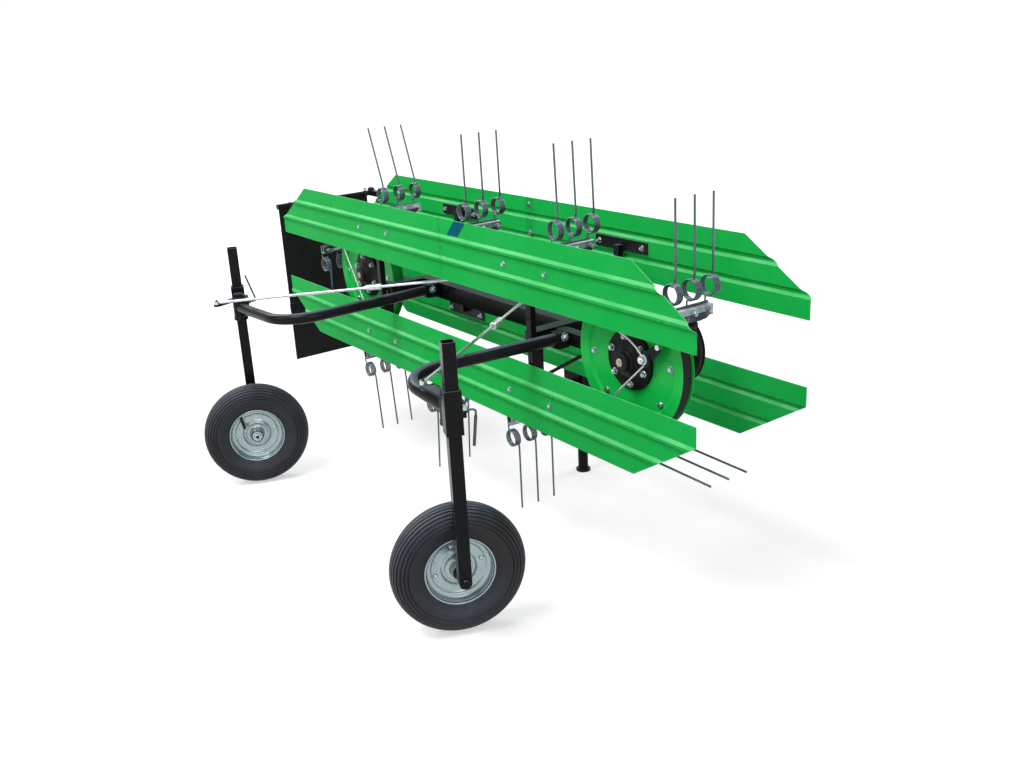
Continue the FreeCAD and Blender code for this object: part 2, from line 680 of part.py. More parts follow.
def tyre(side):
    w, r = TYRE_W / 2, TYRE_R
    g = 0.2
    pts = [(BEAD_R + g, -34 + g), (RIM_R + g, -34 + g), (RIM_R + 6, -37), (142, -49),
           (160, -w), (176, -50), (190, -42), (200, -30), (r - 2, -16), (r, -6),
           (r, 6), (r - 2, 16), (200, 30), (190, 42), (176, 50), (160, w),
           (142, 49), (RIM_R + 6, 37), (RIM_R + g, 34 - g), (BEAD_R + g, 34 - g),
           (BEAD_R + g, 22), (118, 26), (140, 38), (162, 42), (180, 36),
           (192, 20), (196, 0), (192, -20), (180, -36), (162, -42), (140, -38),
           (118, -26), (BEAD_R + g, -22)]
    body = turned(pts, V(wheel_centre(side), 0, TYRE_R), V(1, 0, 0))
    return steer_turn(body, side)


def rim(side):
    """Dished disc wheel with its hub tube."""
    t = 3.0
    pts = [(RIM_R, -37), (RIM_R, -34), (BEAD_R, -34), (BEAD_R, -20), (84, -12),
           (84, 12), (BEAD_R, 20), (BEAD_R, 34), (RIM_R, 34), (RIM_R, 37),
           (BEAD_R - t, 37), (BEAD_R - t, 22), (80, 14), (80, 3), (62, 3),
           (50, 10), (26, 10), (26, 40), (AXLE_R + RUN / 3, 40),
           (AXLE_R + RUN / 3, -40), (26, -40), (26, -10), (50, -10), (62, -3),
           (80, -3), (80, -14), (BEAD_R - t, -22), (BEAD_R - t, -37)]
    body = turned(pts, V(wheel_centre(side), 0, TYRE_R), V(1, 0, 0))
    return steer_turn(body, side)


for label, side, lever, up in (("left", -1, LEVER_LEFT, True),
                               ("right", 1, LEVER_RIGHT, False)):
    nodes[label + "_castor_sleeve"] = castor_sleeve(side, lever)
    nodes[label + "_clamp_handle"] = clamp_handle(side, up)
    nodes[label + "_leg"] = leg(side)
    nodes[label + "_tyre"] = tyre(side)
    nodes[label + "_rim"] = rim(side)


# ---- tie rods ------------------------------------------------------------
def tie_rod(side, lever, level, buckle):
    """Rod with a turnbuckle and an eye at each end."""
    a = math.radians(lever)
    tip = V(side * PIVOT_X + LEVER_LEN * math.cos(a),
            PIVOT_Y + LEVER_LEN * math.sin(a), LEVER_Z + 4 + RUN)
    pin = V(HITCH_X, ROD_PIN_Y, level)
    start, end = tip + V(0, 0, 6), pin + V(0, 0, 7 - side * 2)
    d = (end - start).normalize()
    mid = start + (end - start) * buckle
    body = fuse(rod(start + d * 6, end - d * 12, 5),
                rod(mid - d * 30, mid + d * 30, 9.5),
                Part.makeCylinder(11, 12, tip), Part.makeCylinder(14, 14, pin))
    return body.cut(Part.makeCylinder(6 + RUN, 40, pin - V(0, 0, 16)))


nodes["left_tie_rod"] = tie_rod(-1, LEVER_LEFT, ROD_PIN_Z - 8 + RUN, 0.48)
nodes["right_tie_rod"] = tie_rod(1, LEVER_RIGHT, ROD_PIN_Z - 16 - RUN - 14, 0.5)


# ---- parking stand -------------------------------------------------------
def stand_sleeve():
    x, y = STAND_X, STAND_Y
    sleeve = tube(V(x, y, HITCH_Z - 40), V(x, y, HITCH_Z + 60), 26, STAND_R + FIT)
    arm = box(x - 12, HITCH_X - 55.2, 300, y - 22, HITCH_Z, HITCH_Z + 40)
    return fuse(sleeve, arm).cut(rod(V(x, y, HITCH_Z - 50), V(x, y, HITCH_Z + 70),
                                     STAND_R + FIT))


def stand_tube():
    x, y = STAND_X, STAND_Y
    return fuse(rod(V(x, y, 6), V(x, y, STAND_TOP), STAND_R),
                rod(V(x, y, 0), V(x, y, 8), 29))


nodes["stand_sleeve"] = stand_sleeve()
nodes["parking_stand"] = stand_tube()


# ---- swath board ---------------------------------------------------------
def board_carrier():
    """Tube along the rear plate and the cross bar that carries the board."""
    face = PLATE_Y + PLATE_T / 2 + 0.3
    z = BOARD_BAR_Z
    along = box(BOARD_X - 14, -370, face, face + 25, z - 12.5, z + 12.5)
    bar_ = rod(V(BOARD_X, -BOARD_HALF - 6, z), V(BOARD_X, face + 30, z), 12)
    return fuse(along, bar_)


def swath_board():
    z1 = BOARD_BAR_Z - 12.3
    return box(BOARD_X - 2.5, BOARD_X + 2.5, -BOARD_HALF, BOARD_HALF - 24, BOARD_LOW, z1)


def board_stiffener():
    return box(BOARD_X + 2.7, BOARD_X + 8.7, -BOARD_HALF - 4, BOARD_HALF - 24,
               BOARD_LOW + 232, BOARD_LOW + 270)


nodes["board_carrier"] = board_carrier()
nodes["swath_board"] = swath_board()
nodes["board_stiffener"] = board_stiffener()

# ---- origin at the bottom centre of the whole machine, then the files ----
whole = Part.makeCompound(list(nodes.values())).optimalBoundingBox(True, False)
shift = V(-(whole.XMin + whole.XMax) / 2, -(whole.YMin + whole.YMax) / 2, -whole.ZMin)
for name, shape in nodes.items():
    shape.translate(shift)
    shape.exportStep("parts/%s.step" % name)
    print(name, len(shape.Solids), shape.isValid(), round(shape.Volume / 1e6, 3))
print("moved by", shift)
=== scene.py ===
"""Looks of the belt hay tedder: smooth pieces, fittings and finishes around the fixed frame.

Sizes in this file are millimetres in the maker's own axes (X along the working
width from the plates' middle, Y to the tractor, Z up from the ground) until
place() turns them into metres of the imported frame.
"""
import json
import math

import bmesh
import bpy
import numpy as np
from mathutils import Matrix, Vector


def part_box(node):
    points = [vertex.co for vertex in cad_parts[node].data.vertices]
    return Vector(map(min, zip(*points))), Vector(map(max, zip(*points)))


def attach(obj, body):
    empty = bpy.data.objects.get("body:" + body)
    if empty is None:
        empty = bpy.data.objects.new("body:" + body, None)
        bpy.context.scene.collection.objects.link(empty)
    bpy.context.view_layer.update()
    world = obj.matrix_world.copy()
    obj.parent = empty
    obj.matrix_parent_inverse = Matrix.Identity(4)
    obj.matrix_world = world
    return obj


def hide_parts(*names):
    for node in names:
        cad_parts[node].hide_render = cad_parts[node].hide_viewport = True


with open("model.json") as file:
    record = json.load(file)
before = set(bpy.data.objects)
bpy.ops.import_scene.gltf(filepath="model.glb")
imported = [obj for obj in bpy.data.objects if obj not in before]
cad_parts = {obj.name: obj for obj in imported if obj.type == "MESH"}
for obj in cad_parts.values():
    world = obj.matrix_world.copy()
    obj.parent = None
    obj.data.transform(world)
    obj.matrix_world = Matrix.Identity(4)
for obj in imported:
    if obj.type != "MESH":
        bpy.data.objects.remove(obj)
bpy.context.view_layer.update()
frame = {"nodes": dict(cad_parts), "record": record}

MM = 0.001
front_sheet, rear_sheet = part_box("front_upper_plate"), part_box("rear_upper_plate")
ZERO = np.array([(front_sheet[0].x + front_sheet[1].x) / 2,
                 (front_sheet[0].y + rear_sheet[1].y) / 2, 0.0])
X, Y, Z = np.eye(3)


def place(points):
    """Maker's millimetres to metres of the frame: point * 0.001 + ZERO."""
    return np.asarray(points, float) * MM + ZERO


def unit(v):
    """v / |v|, along the last axis."""
    v = np.asarray(v, float)
    return v / np.linalg.norm(v, axis=-1, keepdims=True)


# ---- surfaces ------------------------------------------------------------
def skin(grid, wrap_u=False, wrap_v=False, cap_u=False):
    """A grid of points P(u, v) as a mesh: cell (i, j) is the quad P(i, j), P(i+1, j),
    P(i+1, j+1), P(i, j+1), with the ends i = 0 and i = last closed by polygons."""
    nu, nv = grid.shape[:2]
    ids = np.arange(nu * nv).reshape(nu, nv)
    walk = np.vstack([ids, ids[:1]]) if wrap_u else ids
    walk = np.hstack([walk, walk[:, :1]]) if wrap_v else walk
    quads = np.stack([walk[:-1, :-1], walk[1:, :-1], walk[1:, 1:], walk[:-1, 1:]], -1)
    faces = [quads.reshape(-1, 4)]
    if cap_u:
        faces += [ids[:1, ::-1], ids[-1:]]
    return outward((grid.reshape(-1, 3), faces))


def outward(part):
    """Signed volume = sum of a . (b x c) over the faces' triangles (a, b, c); where it is
    negative, every face is turned round."""
    points, faces = part
    volume = 0.0
    for f in faces:
        a = points[f[:, 0]]
        for k in range(1, f.shape[1] - 1):
            volume += np.einsum("ij,ij->", a, np.cross(points[f[:, k]], points[f[:, k + 1]]))
    return (points, [f[:, ::-1] for f in faces]) if volume < 0 else part


def join(parts):
    """Several meshes as one: each mesh's face numbers move on by the points before it."""
    points, faces, start = [], [], 0
    for p, fs in parts:
        points.append(p)
        faces += [f + start for f in fs]
        start += len(p)
    return np.vstack(points), faces


def copies(part, centres, turns):
    """The part repeated: copy k is turn k times the point, plus centre k."""
    points, faces = part
    n = len(points)
    spread = np.einsum("kij,nj->kni", np.asarray(turns, float), points)
    spread = spread + np.asarray(centres, float)[:, None]
    step = np.arange(len(centres)) * n
    return (spread.reshape(-1, 3),
            [(f[None] + step[:, None, None]).reshape(-1, f.shape[1]) for f in faces])


def axes_to(direction, hint=Z):
    """Turning matrix (a, d x a, d): d is the direction and a is hint x d made one long."""
    d = unit(direction)
    if abs(d @ hint) > 0.95:
        hint = X
    a = unit(np.cross(hint, d))
    return np.stack([a, np.cross(d, a), d], -1)


def revolve(profile, centre, axis, segments=96):
    """A closed (r, s) outline carried round the axis: (r cos a, r sin a, s)."""
    r, s = np.asarray(profile, float).T
    a = np.linspace(0, 2 * np.pi, segments, endpoint=False)[:, None]
    local = np.stack([r * np.cos(a), r * np.sin(a), s + 0 * a], -1)
    return skin(local @ axes_to(axis).T + np.asarray(centre, float), True, True)


def spindle(profile, centre, axis, segments=32):
    """A solid of revolution: rings (r cos a, r sin a, s) with its two ends closed."""
    r, s = np.asarray(profile, float).T
    a = np.linspace(0, 2 * np.pi, segments, endpoint=False)
    local = np.stack([r[:, None] * np.cos(a), r[:, None] * np.sin(a),
                      s[:, None] + 0 * a], -1)
    return skin(local @ axes_to(axis).T + np.asarray(centre, float), False, True, True)


def sweep(path, radius, sides=16, hint=Z):
    """A round section along a path P(u): P + r (a cos q + b sin q), where t is the path's
    direction, a = hint x t made one long and b = t x a."""
    path = np.asarray(path, float)
    t = unit(np.gradient(path, axis=0))
    a = unit(np.cross(np.broadcast_to(hint, t.shape), t))
    b = np.cross(t, a)
    q = np.linspace(0, 2 * np.pi, sides, endpoint=False)[:, None]
    radius = np.broadcast_to(np.asarray(radius, float), path.shape[:1])[:, None, None]
    ring = a[:, None] * np.cos(q) + b[:, None] * np.sin(q)
    return skin(path[:, None] + radius * ring, False, True, True)


def straight(a, b, r, sides=12):
    """A round bar between two points: the path a + w (b - a), w from 0 to 1."""
    a, b = np.asarray(a, float), np.asarray(b, float)
    w = np.linspace(0, 1, 4)[:, None]
    hint = Y if abs(unit(b - a) @ Y) < 0.9 else Z
    return sweep(a + w * (b - a), r, sides, hint)


def sheet_between(section, direction, length, thick):
    """A folded strip: the section P(u) and P(u) + thick (t x direction), drawn out along
    the direction by the length, where t is the section's own direction."""
    section = np.asarray(section, float)
    t = unit(np.gradient(section, axis=0))
    n = np.cross(t, unit(direction)) * thick
    ring = np.vstack([section, (section + n)[::-1]])
    run = np.stack([ring, ring + unit(direction) * length])
    return skin(run, False, True, True)


def prism(outline, direction, length):
    """A flat outline P(u) drawn out: P(u) and P(u) + direction * length."""
    outline = np.asarray(outline, float)
    return skin(np.stack([outline, outline + unit(direction) * length]), False, True, True)


def block(lo, hi):
    """The prism over the rectangle from lo to hi, standing from lo's level to hi's."""
    x0, y0, z0 = lo
    x1, y1, z1 = hi
    return prism([(x0, y0, z0), (x1, y0, z0), (x1, y1, z0), (x0, y1, z0)], Z, z1 - z0)


def rounded(points, radius, steps=8):
    """Each inner corner b becomes (1-w)^2 s + 2w(1-w) b + w^2 e, where s and e lie on its
    two sides at the radius, or at 0.45 of a shorter side."""
    p = np.asarray(points, float)
    out = [p[:1]]
    w = np.linspace(0, 1, steps)[:, None]
    for a, b, c in zip(p[:-2], p[1:-1], p[2:]):
        cut = min(radius, 0.45 * np.linalg.norm(a - b), 0.45 * np.linalg.norm(c - b))
        s, e = b + unit(a - b) * cut, b + unit(c - b) * cut
        out.append((1 - w) ** 2 * s + 2 * w * (1 - w) * b + w ** 2 * e)
    out.append(p[-1:])
    return np.vstack(out)


def hex_fastener(across, height, washer=0.0, thick=1.6, stub=0.0):
    """Hexagon head of corner radius across / sqrt 3, drawn in to 0.9 of it at the top, on
    a round washer, with a threaded end past it."""
    a = np.arange(6) * np.pi / 3
    r = across / math.sqrt(3)
    base = thick if washer else 0.0
    rings = [(r, 0), (r, 0.82), (0.9 * r, 1.0)]
    grid = np.array([[(k * math.cos(q), k * math.sin(q), base + h * height) for q in a]
                     for k, h in rings])
    parts = [skin(grid, False, True, True)]
    if washer:
        parts.append(spindle([(washer, 0), (washer, thick * 0.8), (washer - 0.4, thick)],
                             (0, 0, 0), Z, 24))
    if stub:
        top = base + height
        parts.append(spindle([(across * 0.28, top - 1), (across * 0.28, top + stub - 1),
                              (across * 0.22, top + stub)], (0, 0, 0), Z, 12))
    return join(parts)


def fasteners(kind, spots, direction):
    """The same fastener at several spots, pointing one way, copy k turned by 0.7 k."""
    q = 0.7 * np.arange(len(spots))
    zero, one = 0 * q, 0 * q + 1
    spin = np.stack([np.stack([np.cos(q), -np.sin(q), zero], -1),
                     np.stack([np.sin(q), np.cos(q), zero], -1),
                     np.stack([zero, zero, one], -1)], 1)
    return copies(kind, spots, axes_to(direction) @ spin)


# ---- putting pieces in ---------------------------------------------------
def piece(name, parts, material, body, replaces=(), sharp=35.0, bevel=0.0):
    """One finished object: joined meshes in metres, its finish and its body."""
    points, faces = join(parts)
    mesh = bpy.data.meshes.new(name)
    mesh.from_pydata(place(points).tolist(), [], [tuple(q) for f in faces for q in f.tolist()])
    clean = bmesh.new()
    clean.from_mesh(mesh)
    bmesh.ops.remove_doubles(clean, verts=clean.verts, dist=2e-6)
    bmesh.ops.dissolve_degenerate(clean, edges=clean.edges, dist=1e-6)
    clean.to_mesh(mesh)
    clean.free()
    mesh.shade_smooth()
    mesh.set_sharp_from_angle(angle=math.radians(sharp))
    obj = bpy.data.objects.new(name, mesh)
    bpy.context.scene.collection.objects.link(obj)
    mesh.materials.append(material)
    if bevel:
        mod = obj.modifiers.new("soft_edges", "BEVEL")
        mod.width = bevel * MM
        mod.segments = 2
        mod.limit_method = "ANGLE"
        mod.angle_limit = math.radians(40)
    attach(obj, body)
    if replaces:
        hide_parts(*replaces)
    return obj


# ---- node tools ----------------------------------------------------------
class Nodes:
    """Short calls for building one node tree."""

    def __init__(self, tree):
        self.tree = tree

    def add(self, kind, **settings):
        """A new node of this kind, with its settings and its inputs filled in."""
        node = self.tree.nodes.new(kind)
        inputs = settings.pop("inputs", {})
        for key, value in settings.items():
            setattr(node, key, value)
        for key, value in inputs.items():
            self.put(node.inputs[key], value)
        return node

    def put(self, socket, value):
        """Link another node's output to the socket, or give the socket a plain value."""
        if isinstance(value, bpy.types.NodeSocket):
            self.tree.links.new(value, socket)
        else:
            socket.default_value = value

    def math(self, operation, a, b=0.0, clamp=False):
        """One arithmetic step on two values, held to 0 to 1 if clamp is set."""
        node = self.add("ShaderNodeMath", operation=operation, use_clamp=clamp)
        self.put(node.inputs[0], a)
        self.put(node.inputs[1], b)
        return node.outputs[0]

    def span(self, value, low, high, new_low=0.0, new_high=1.0):
        """The value carried from one range to another, and held to it."""
        node = self.add("ShaderNodeMapRange", clamp=True)
        for key, v in zip(("Value", "From Min", "From Max", "To Min", "To Max"),
                          (value, low, high, new_low, new_high)):
            self.put(node.inputs[key], v)
        return node.outputs[0]

    def mix(self, factor, a, b):
        """Colour a, going over to colour b as the factor goes from 0 to 1."""
        node = self.add("ShaderNodeMix", data_type="RGBA")
        for key, v in ((0, factor), (6, a), (7, b)):
            self.put(node.inputs[key], v)
        return node.outputs[2]

    def noise(self, vector, scale, detail=4.0, rough=0.55):
        """A cloudy pattern from 0 to 1 over the given points."""
        node = self.add("ShaderNodeTexNoise", inputs={"Vector": vector})
        self.put(node.inputs["Scale"], scale)
        node.inputs["Detail"].default_value = detail
        node.inputs["Roughness"].default_value = rough
        return node.outputs["Fac"]


def effect(name, inputs, output):
    """An empty node group with named float inputs and one named float output."""
    tree = bpy.data.node_groups.new(name, "ShaderNodeTree")
    for label, value in inputs:
        sock = tree.interface.new_socket(name=label, in_out="INPUT", socket_type="NodeSocketFloat")
        sock.default_value = value
    tree.interface.new_socket(name=output, in_out="OUTPUT", socket_type="NodeSocketFloat")
    n = Nodes(tree)
    return tree, n, n.add("NodeGroupInput").outputs, n.add("NodeGroupOutput").inputs[output]


def build_mottle():
    """Soft patches: two noises of object space, mapped to the range Low to High."""
    tree, n, given, result = effect("mottle", (("Scale", 8.0), ("Low", 0.0), ("High", 1.0)),
                                    "Value")
    spot = n.add("ShaderNodeTexCoord").outputs["Object"]
    coarse = n.noise(spot, given["Scale"], 3.0)
    fine = n.noise(spot, n.math("MULTIPLY", given["Scale"], 7.0), 5.0)
    both = n.math("ADD", n.math("MULTIPLY", coarse, 0.65), n.math("MULTIPLY", fine, 0.35))
    n.put(result, n.span(both, 0.3, 0.7, given["Low"], given["High"]))
    return tree


def build_edge_wear_and_sheen():
    """Where a rounded normal leaves the flat one the edge takes another colour, broken up by
    noise: worn bare edges on most finishes, a painted highlight along the plated brackets' edges.
    """
    tree, n, given, result = effect(
        "edge_wear_and_sheen", (("Radius", 0.002), ("Amount", 0.5), ("Scale", 60.0)), "Mask")
    round_ = n.add("ShaderNodeBevel", samples=4)
    n.put(round_.inputs["Radius"], given["Radius"])
    flat = n.add("ShaderNodeNewGeometry").outputs["Normal"]
    dot = n.add("ShaderNodeVectorMath", operation="DOT_PRODUCT")
    n.put(dot.inputs[0], round_.outputs["Normal"])
    n.put(dot.inputs[1], flat)
    edge = n.span(dot.outputs["Value"], 0.995, 0.90)
    spot = n.add("ShaderNodeTexCoord").outputs["Object"]
    torn = n.span(n.noise(spot, given["Scale"], 6.0), 0.45, 0.62)
    n.put(result, n.math("MULTIPLY", n.math("MULTIPLY", edge, torn), given["Amount"], True))
    return tree


def build_dust_and_sheen():
    """A mask on faces turned up, from the slope Start on, thicker in patches: real dust on some
    finishes, and a painted highlight on the green plates, black enamel and plated brackets.
    """
    tree, n, given, result = effect("dust_and_sheen", (("Amount", 0.3), ("Scale", 9.0),
                                              ("Start", -0.2)), "Mask")
    up = n.add("ShaderNodeSeparateXYZ")
    n.put(up.inputs[0], n.add("ShaderNodeNewGeometry").outputs["Normal"])
    facing = n.span(up.outputs["Z"], given["Start"], 0.9, 0.05, 1.0)
    spot = n.add("ShaderNodeTexCoord").outputs["Object"]
    patch = n.span(n.noise(spot, given["Scale"], 4.0, 0.5), 0.2, 0.6)
    n.put(result, n.math("MULTIPLY", n.math("MULTIPLY", facing, patch), given["Amount"], True))
    return tree


def build_grain():
    """Fine even roughness of the surface as a height."""
    tree, n, given, result = effect("grain", (("Scale", 300.0),), "Height")
    spot = n.add("ShaderNodeTexCoord").outputs["Object"]
    n.put(result, n.noise(spot, given["Scale"], 3.0))
    return tree


def build_drawn():
    """Long drawing marks: a noise stretched along one axis of object space."""
    tree, n, given, result = effect("drawn", (("Scale", 40.0),), "Value")
    spot = n.add("ShaderNodeTexCoord").outputs["Object"]
    stretch = n.add("ShaderNodeMapping", inputs={"Vector": spot})
    stretch.inputs["Scale"].default_value = (0.12, 1.0, 1.0)
    n.put(result, n.noise(stretch.outputs[0], given["Scale"], 5.0))
    return tree


def build_stains():
    """Small separate patches: a noise above a threshold, broken by a finer one."""
    tree, n, given, result = effect("stains", (("Amount", 0.4), ("Scale", 16.0)), "Mask")
    spot = n.add("ShaderNodeTexCoord").outputs["Object"]
    large = n.span(n.noise(spot, given["Scale"], 3.0), 0.50, 0.66)
    small = n.span(n.noise(spot, n.math("MULTIPLY", given["Scale"], 5.0), 5.0), 0.35, 0.65)
    n.put(result, n.math("MULTIPLY", n.math("MULTIPLY", large, small), given["Amount"], True))
    return tree


MOTTLE, EDGE_WEAR_AND_SHEEN, DUST_AND_SHEEN, GRAIN, DRAWN, STAINS = (
    build_mottle(), build_edge_wear_and_sheen(), build_dust_and_sheen(), build_grain(), build_drawn(),
    build_stains())


def use(n, tree, **values):
    """The first output of a shared effect, placed in this material with its own values."""
    node = n.add("ShaderNodeGroup", node_tree=tree)
    for key, value in values.items():
        n.put(node.inputs[key], value)
    return node.outputs[0]


def finish_of(name, colour, second, patch=6.0, rough=(0.3, 0.45), metal=0.0, coat=0.0,
              wear_and_sheen=None, dust_and_sheen=None, grain=(300.0, 0.05), specular=0.5, drawn=0.0, spots=None):
    """A finish: two tones in patches, small stains, a colour on edges (worn edges; on the plated
    brackets a painted highlight), a colour on faces turned up (dust; on the green plates, black
    enamel and plated brackets a painted highlight), a fine bump.
    """
    mat = bpy.data.materials.new(name)
    mat.use_nodes = True
    n = Nodes(mat.node_tree)
    shader = mat.node_tree.nodes["Principled BSDF"]
    shader.inputs["Metallic"].default_value = metal
    shader.inputs["Coat Weight"].default_value = coat
    shader.inputs["Coat Roughness"].default_value = 0.16
    shader.inputs["Specular IOR Level"].default_value = specular
    tone = n.mix(use(n, MOTTLE, Scale=patch, Low=0.0, High=1.0), (*colour, 1), (*second, 1))
    gloss = use(n, MOTTLE, Scale=patch * 2.3, Low=rough[0], High=rough[1])
    if spots:
        stain, amount, scale = spots
        tone = n.mix(use(n, STAINS, Amount=amount, Scale=scale), tone, (*stain, 1))
    if drawn:
        marks = n.span(use(n, DRAWN, Scale=drawn), 0.35, 0.65)
        tone = n.mix(n.math("MULTIPLY", marks, 0.35), tone, (*second, 1))
        gloss = n.math("ADD", gloss, n.math("MULTIPLY", marks, 0.08))
    # edge colour: bare wear on most finishes, a painted edge highlight on the plated brackets
    if wear_and_sheen:
        edge_tone, amount, radius = wear_and_sheen
        mask = use(n, EDGE_WEAR_AND_SHEEN, Radius=radius, Amount=amount, Scale=55.0)
        tone = n.mix(mask, tone, (*edge_tone, 1))
    # top colour on faces turned up: dust on most finishes, a painted highlight on the green
    # plates, black enamel and plated brackets
    if dust_and_sheen:
        top_tone, amount, start = (*dust_and_sheen, -0.2)[:3]
        mask = use(n, DUST_AND_SHEEN, Amount=amount, Scale=7.0, Start=start)
        tone = n.mix(mask, tone, (*top_tone, 1))
        gloss = n.math("ADD", gloss, n.math("MULTIPLY", mask, 0.4), True)
    n.put(shader.inputs["Base Color"], tone)
    n.put(shader.inputs["Roughness"], gloss)
    bump = n.add("ShaderNodeBump", inputs={"Height": use(n, GRAIN, Scale=grain[0])})
    bump.inputs["Strength"].default_value = grain[1]
    bump.inputs["Distance"].default_value = 0.001
    n.put(shader.inputs["Normal"], bump.outputs[0])
    return mat


DUST_TAN = (0.16, 0.14, 0.11)
DUST_BLUE = (0.10, 0.115, 0.155)
BARE_STEEL = (0.22, 0.22, 0.22)
YELLOW_PASSIVE = (0.34, 0.30, 0.16)
# light green laid on the green plates' faces turned up: a painted highlight on the ribs' upper
# bevels, in place of a gloss reflection
GREEN_SHEEN_PAINT = (0.30, 0.66, 0.40)
# bluish grey laid on the tops of black parts: a painted sky reflection, a highlight line along
# tube tops
SKY_SHEEN_PAINT = (0.13, 0.155, 0.20)

# green enamel with a low specular; its light top colour is the painted rib highlight
GREEN = finish_of("green_enamel", (0.003, 0.345, 0.050), (0.007, 0.385, 0.066), 3.0,
                  (0.20, 0.32), wear_and_sheen=((0.22, 0.62, 0.32), 0.6, 0.0022),
                  dust_and_sheen=(GREEN_SHEEN_PAINT, 0.45, 0.35), grain=(420.0, 0.04), specular=0.018)
# a darker copy of the green enamel for the lap strips: painted shade; on faces turned up it
# carries the same painted rib highlight
SHADED_LAP_GREEN = finish_of("green_enamel_lap_painted_shade", (0.004, 0.275, 0.046), (0.007, 0.31, 0.058), 3.0,
                       (0.20, 0.32), wear_and_sheen=((0.22, 0.62, 0.32), 0.9, 0.003),
                       dust_and_sheen=(GREEN_SHEEN_PAINT, 0.45, 0.35), grain=(420.0, 0.04), specular=0.018)
PULLEY_GREEN = finish_of("green_enamel_pulley", (0.003, 0.43, 0.056), (0.007, 0.48, 0.074),
                         5.0, (0.26, 0.42), wear_and_sheen=((0.20, 0.50, 0.25), 0.6, 0.002),
                         dust_and_sheen=(DUST_TAN, 0.03), grain=(420.0, 0.05), specular=0.13)
# black enamel: the bluish grey on faces turned up from slope 0.74 is a painted highlight; the
# light edges are wear
BLACK = finish_of("black_enamel", (0.0028, 0.0030, 0.0030), (0.0052, 0.0050, 0.0048), 9.0,
                  (0.16, 0.28), wear_and_sheen=((0.15, 0.16, 0.18), 0.55, 0.0020),
                  dust_and_sheen=(SKY_SHEEN_PAINT, 0.55, 0.74), grain=(350.0, 0.06), specular=0.08)
CAST = finish_of("black_casting", (0.0045, 0.0045, 0.0050), (0.010, 0.0095, 0.0095), 14.0,
                 (0.26, 0.42), wear_and_sheen=(BARE_STEEL, 0.16, 0.0015), dust_and_sheen=(DUST_TAN, 0.015),
                 grain=(240.0, 0.30), specular=0.08)
ZINC = finish_of("bright_zinc", (0.66, 0.68, 0.70), (0.42, 0.46, 0.49), 30.0, (0.18, 0.34),
                 metal=0.92, dust_and_sheen=(DUST_TAN, 0.06), grain=(500.0, 0.06), drawn=70.0)
PLATED = finish_of("plated_bolts", (0.50, 0.58, 0.61), (0.22, 0.28, 0.31), 60.0, (0.18, 0.34),
                   metal=0.9, dust_and_sheen=(DUST_TAN, 0.10), grain=(500.0, 0.08),
                   spots=(YELLOW_PASSIVE, 0.35, 60.0))
# plated brackets: the near-white on edges and on faces turned up from slope 0.55 is a painted
# highlight, bright top edges in place of reflections; the dark spots are stains
BRACKET_ZINC = finish_of("plated_brackets", (0.27, 0.33, 0.36), (0.10, 0.125, 0.14), 26.0,
                         (0.18, 0.36), metal=0.85, wear_and_sheen=((0.80, 0.86, 0.88), 0.9, 0.0026),
                         dust_and_sheen=((0.72, 0.82, 0.88), 0.9, 0.55), grain=(420.0, 0.10),
                         spots=((0.03, 0.038, 0.042), 0.6, 42.0))
# a much darker copy of the bracket zinc for the rail wings under the rails: painted shade
SHADED_WING_ZINC = finish_of("wing_zinc_painted_shade", (0.035, 0.043, 0.047), (0.012, 0.015, 0.017), 22.0,
                      (0.26, 0.44), metal=0.8, grain=(420.0, 0.10),
                      spots=((0.30, 0.35, 0.37), 0.35, 34.0))
RIM_ZINC = finish_of("galvanised_rim", (0.36, 0.44, 0.45), (0.27, 0.34, 0.365), 7.0,
                     (0.22, 0.34), metal=0.78, dust_and_sheen=(DUST_TAN, 0.03), grain=(300.0, 0.06),
                     spots=(YELLOW_PASSIVE, 0.25, 12.0))
SPRING = finish_of("spring_wire", (0.105, 0.150, 0.175), (0.050, 0.074, 0.088), 26.0,
                   (0.22, 0.36), metal=0.6, grain=(600.0, 0.08), specular=0.4)
STEEL = finish_of("bare_shaft", (0.42, 0.38, 0.36), (0.24, 0.17, 0.15), 60.0, (0.35, 0.5),
                  metal=0.8, dust_and_sheen=(DUST_TAN, 0.15), grain=(500.0, 0.12))
TYRE = finish_of("tyre_rubber", (0.010, 0.0105, 0.012), (0.017, 0.0175, 0.021), 7.0,
                 (0.36, 0.54), specular=0.24, dust_and_sheen=(DUST_BLUE, 0.62, 0.0), grain=(260.0, 0.30),
                 spots=((0.018, 0.014, 0.011), 0.5, 9.0))
BELT = finish_of("belt_rubber", (0.007, 0.0075, 0.007), (0.014, 0.015, 0.0135), 12.0,
                 (0.6, 0.8), specular=0.16, dust_and_sheen=(DUST_TAN, 0.07), grain=(220.0, 0.35))
BOARD = finish_of("board_rubber", (0.0032, 0.0036, 0.0036), (0.0062, 0.0068, 0.0068), 4.0,
                  (0.46, 0.62), specular=0.14, dust_and_sheen=(DUST_BLUE, 0.03), grain=(160.0, 0.15))
PLATE_BLUE = finish_of("blank_plate", (0.001, 0.075, 0.12), (0.002, 0.10, 0.16), 30.0,
                       (0.25, 0.35), grain=(500.0, 0.03), specular=0.01)
KNOB = finish_of("black_plastic", (0.0045, 0.0045, 0.005), (0.009, 0.0088, 0.0092), 30.0,
                 (0.26, 0.40), dust_and_sheen=(DUST_TAN, 0.04), grain=(380.0, 0.12), specular=0.2)
GRIP = finish_of("grip_tube", (0.115, 0.098, 0.084), (0.075, 0.066, 0.060), 40.0,
                 (0.42, 0.60), dust_and_sheen=(DUST_TAN, 0.12), grain=(420.0, 0.15), specular=0.35)

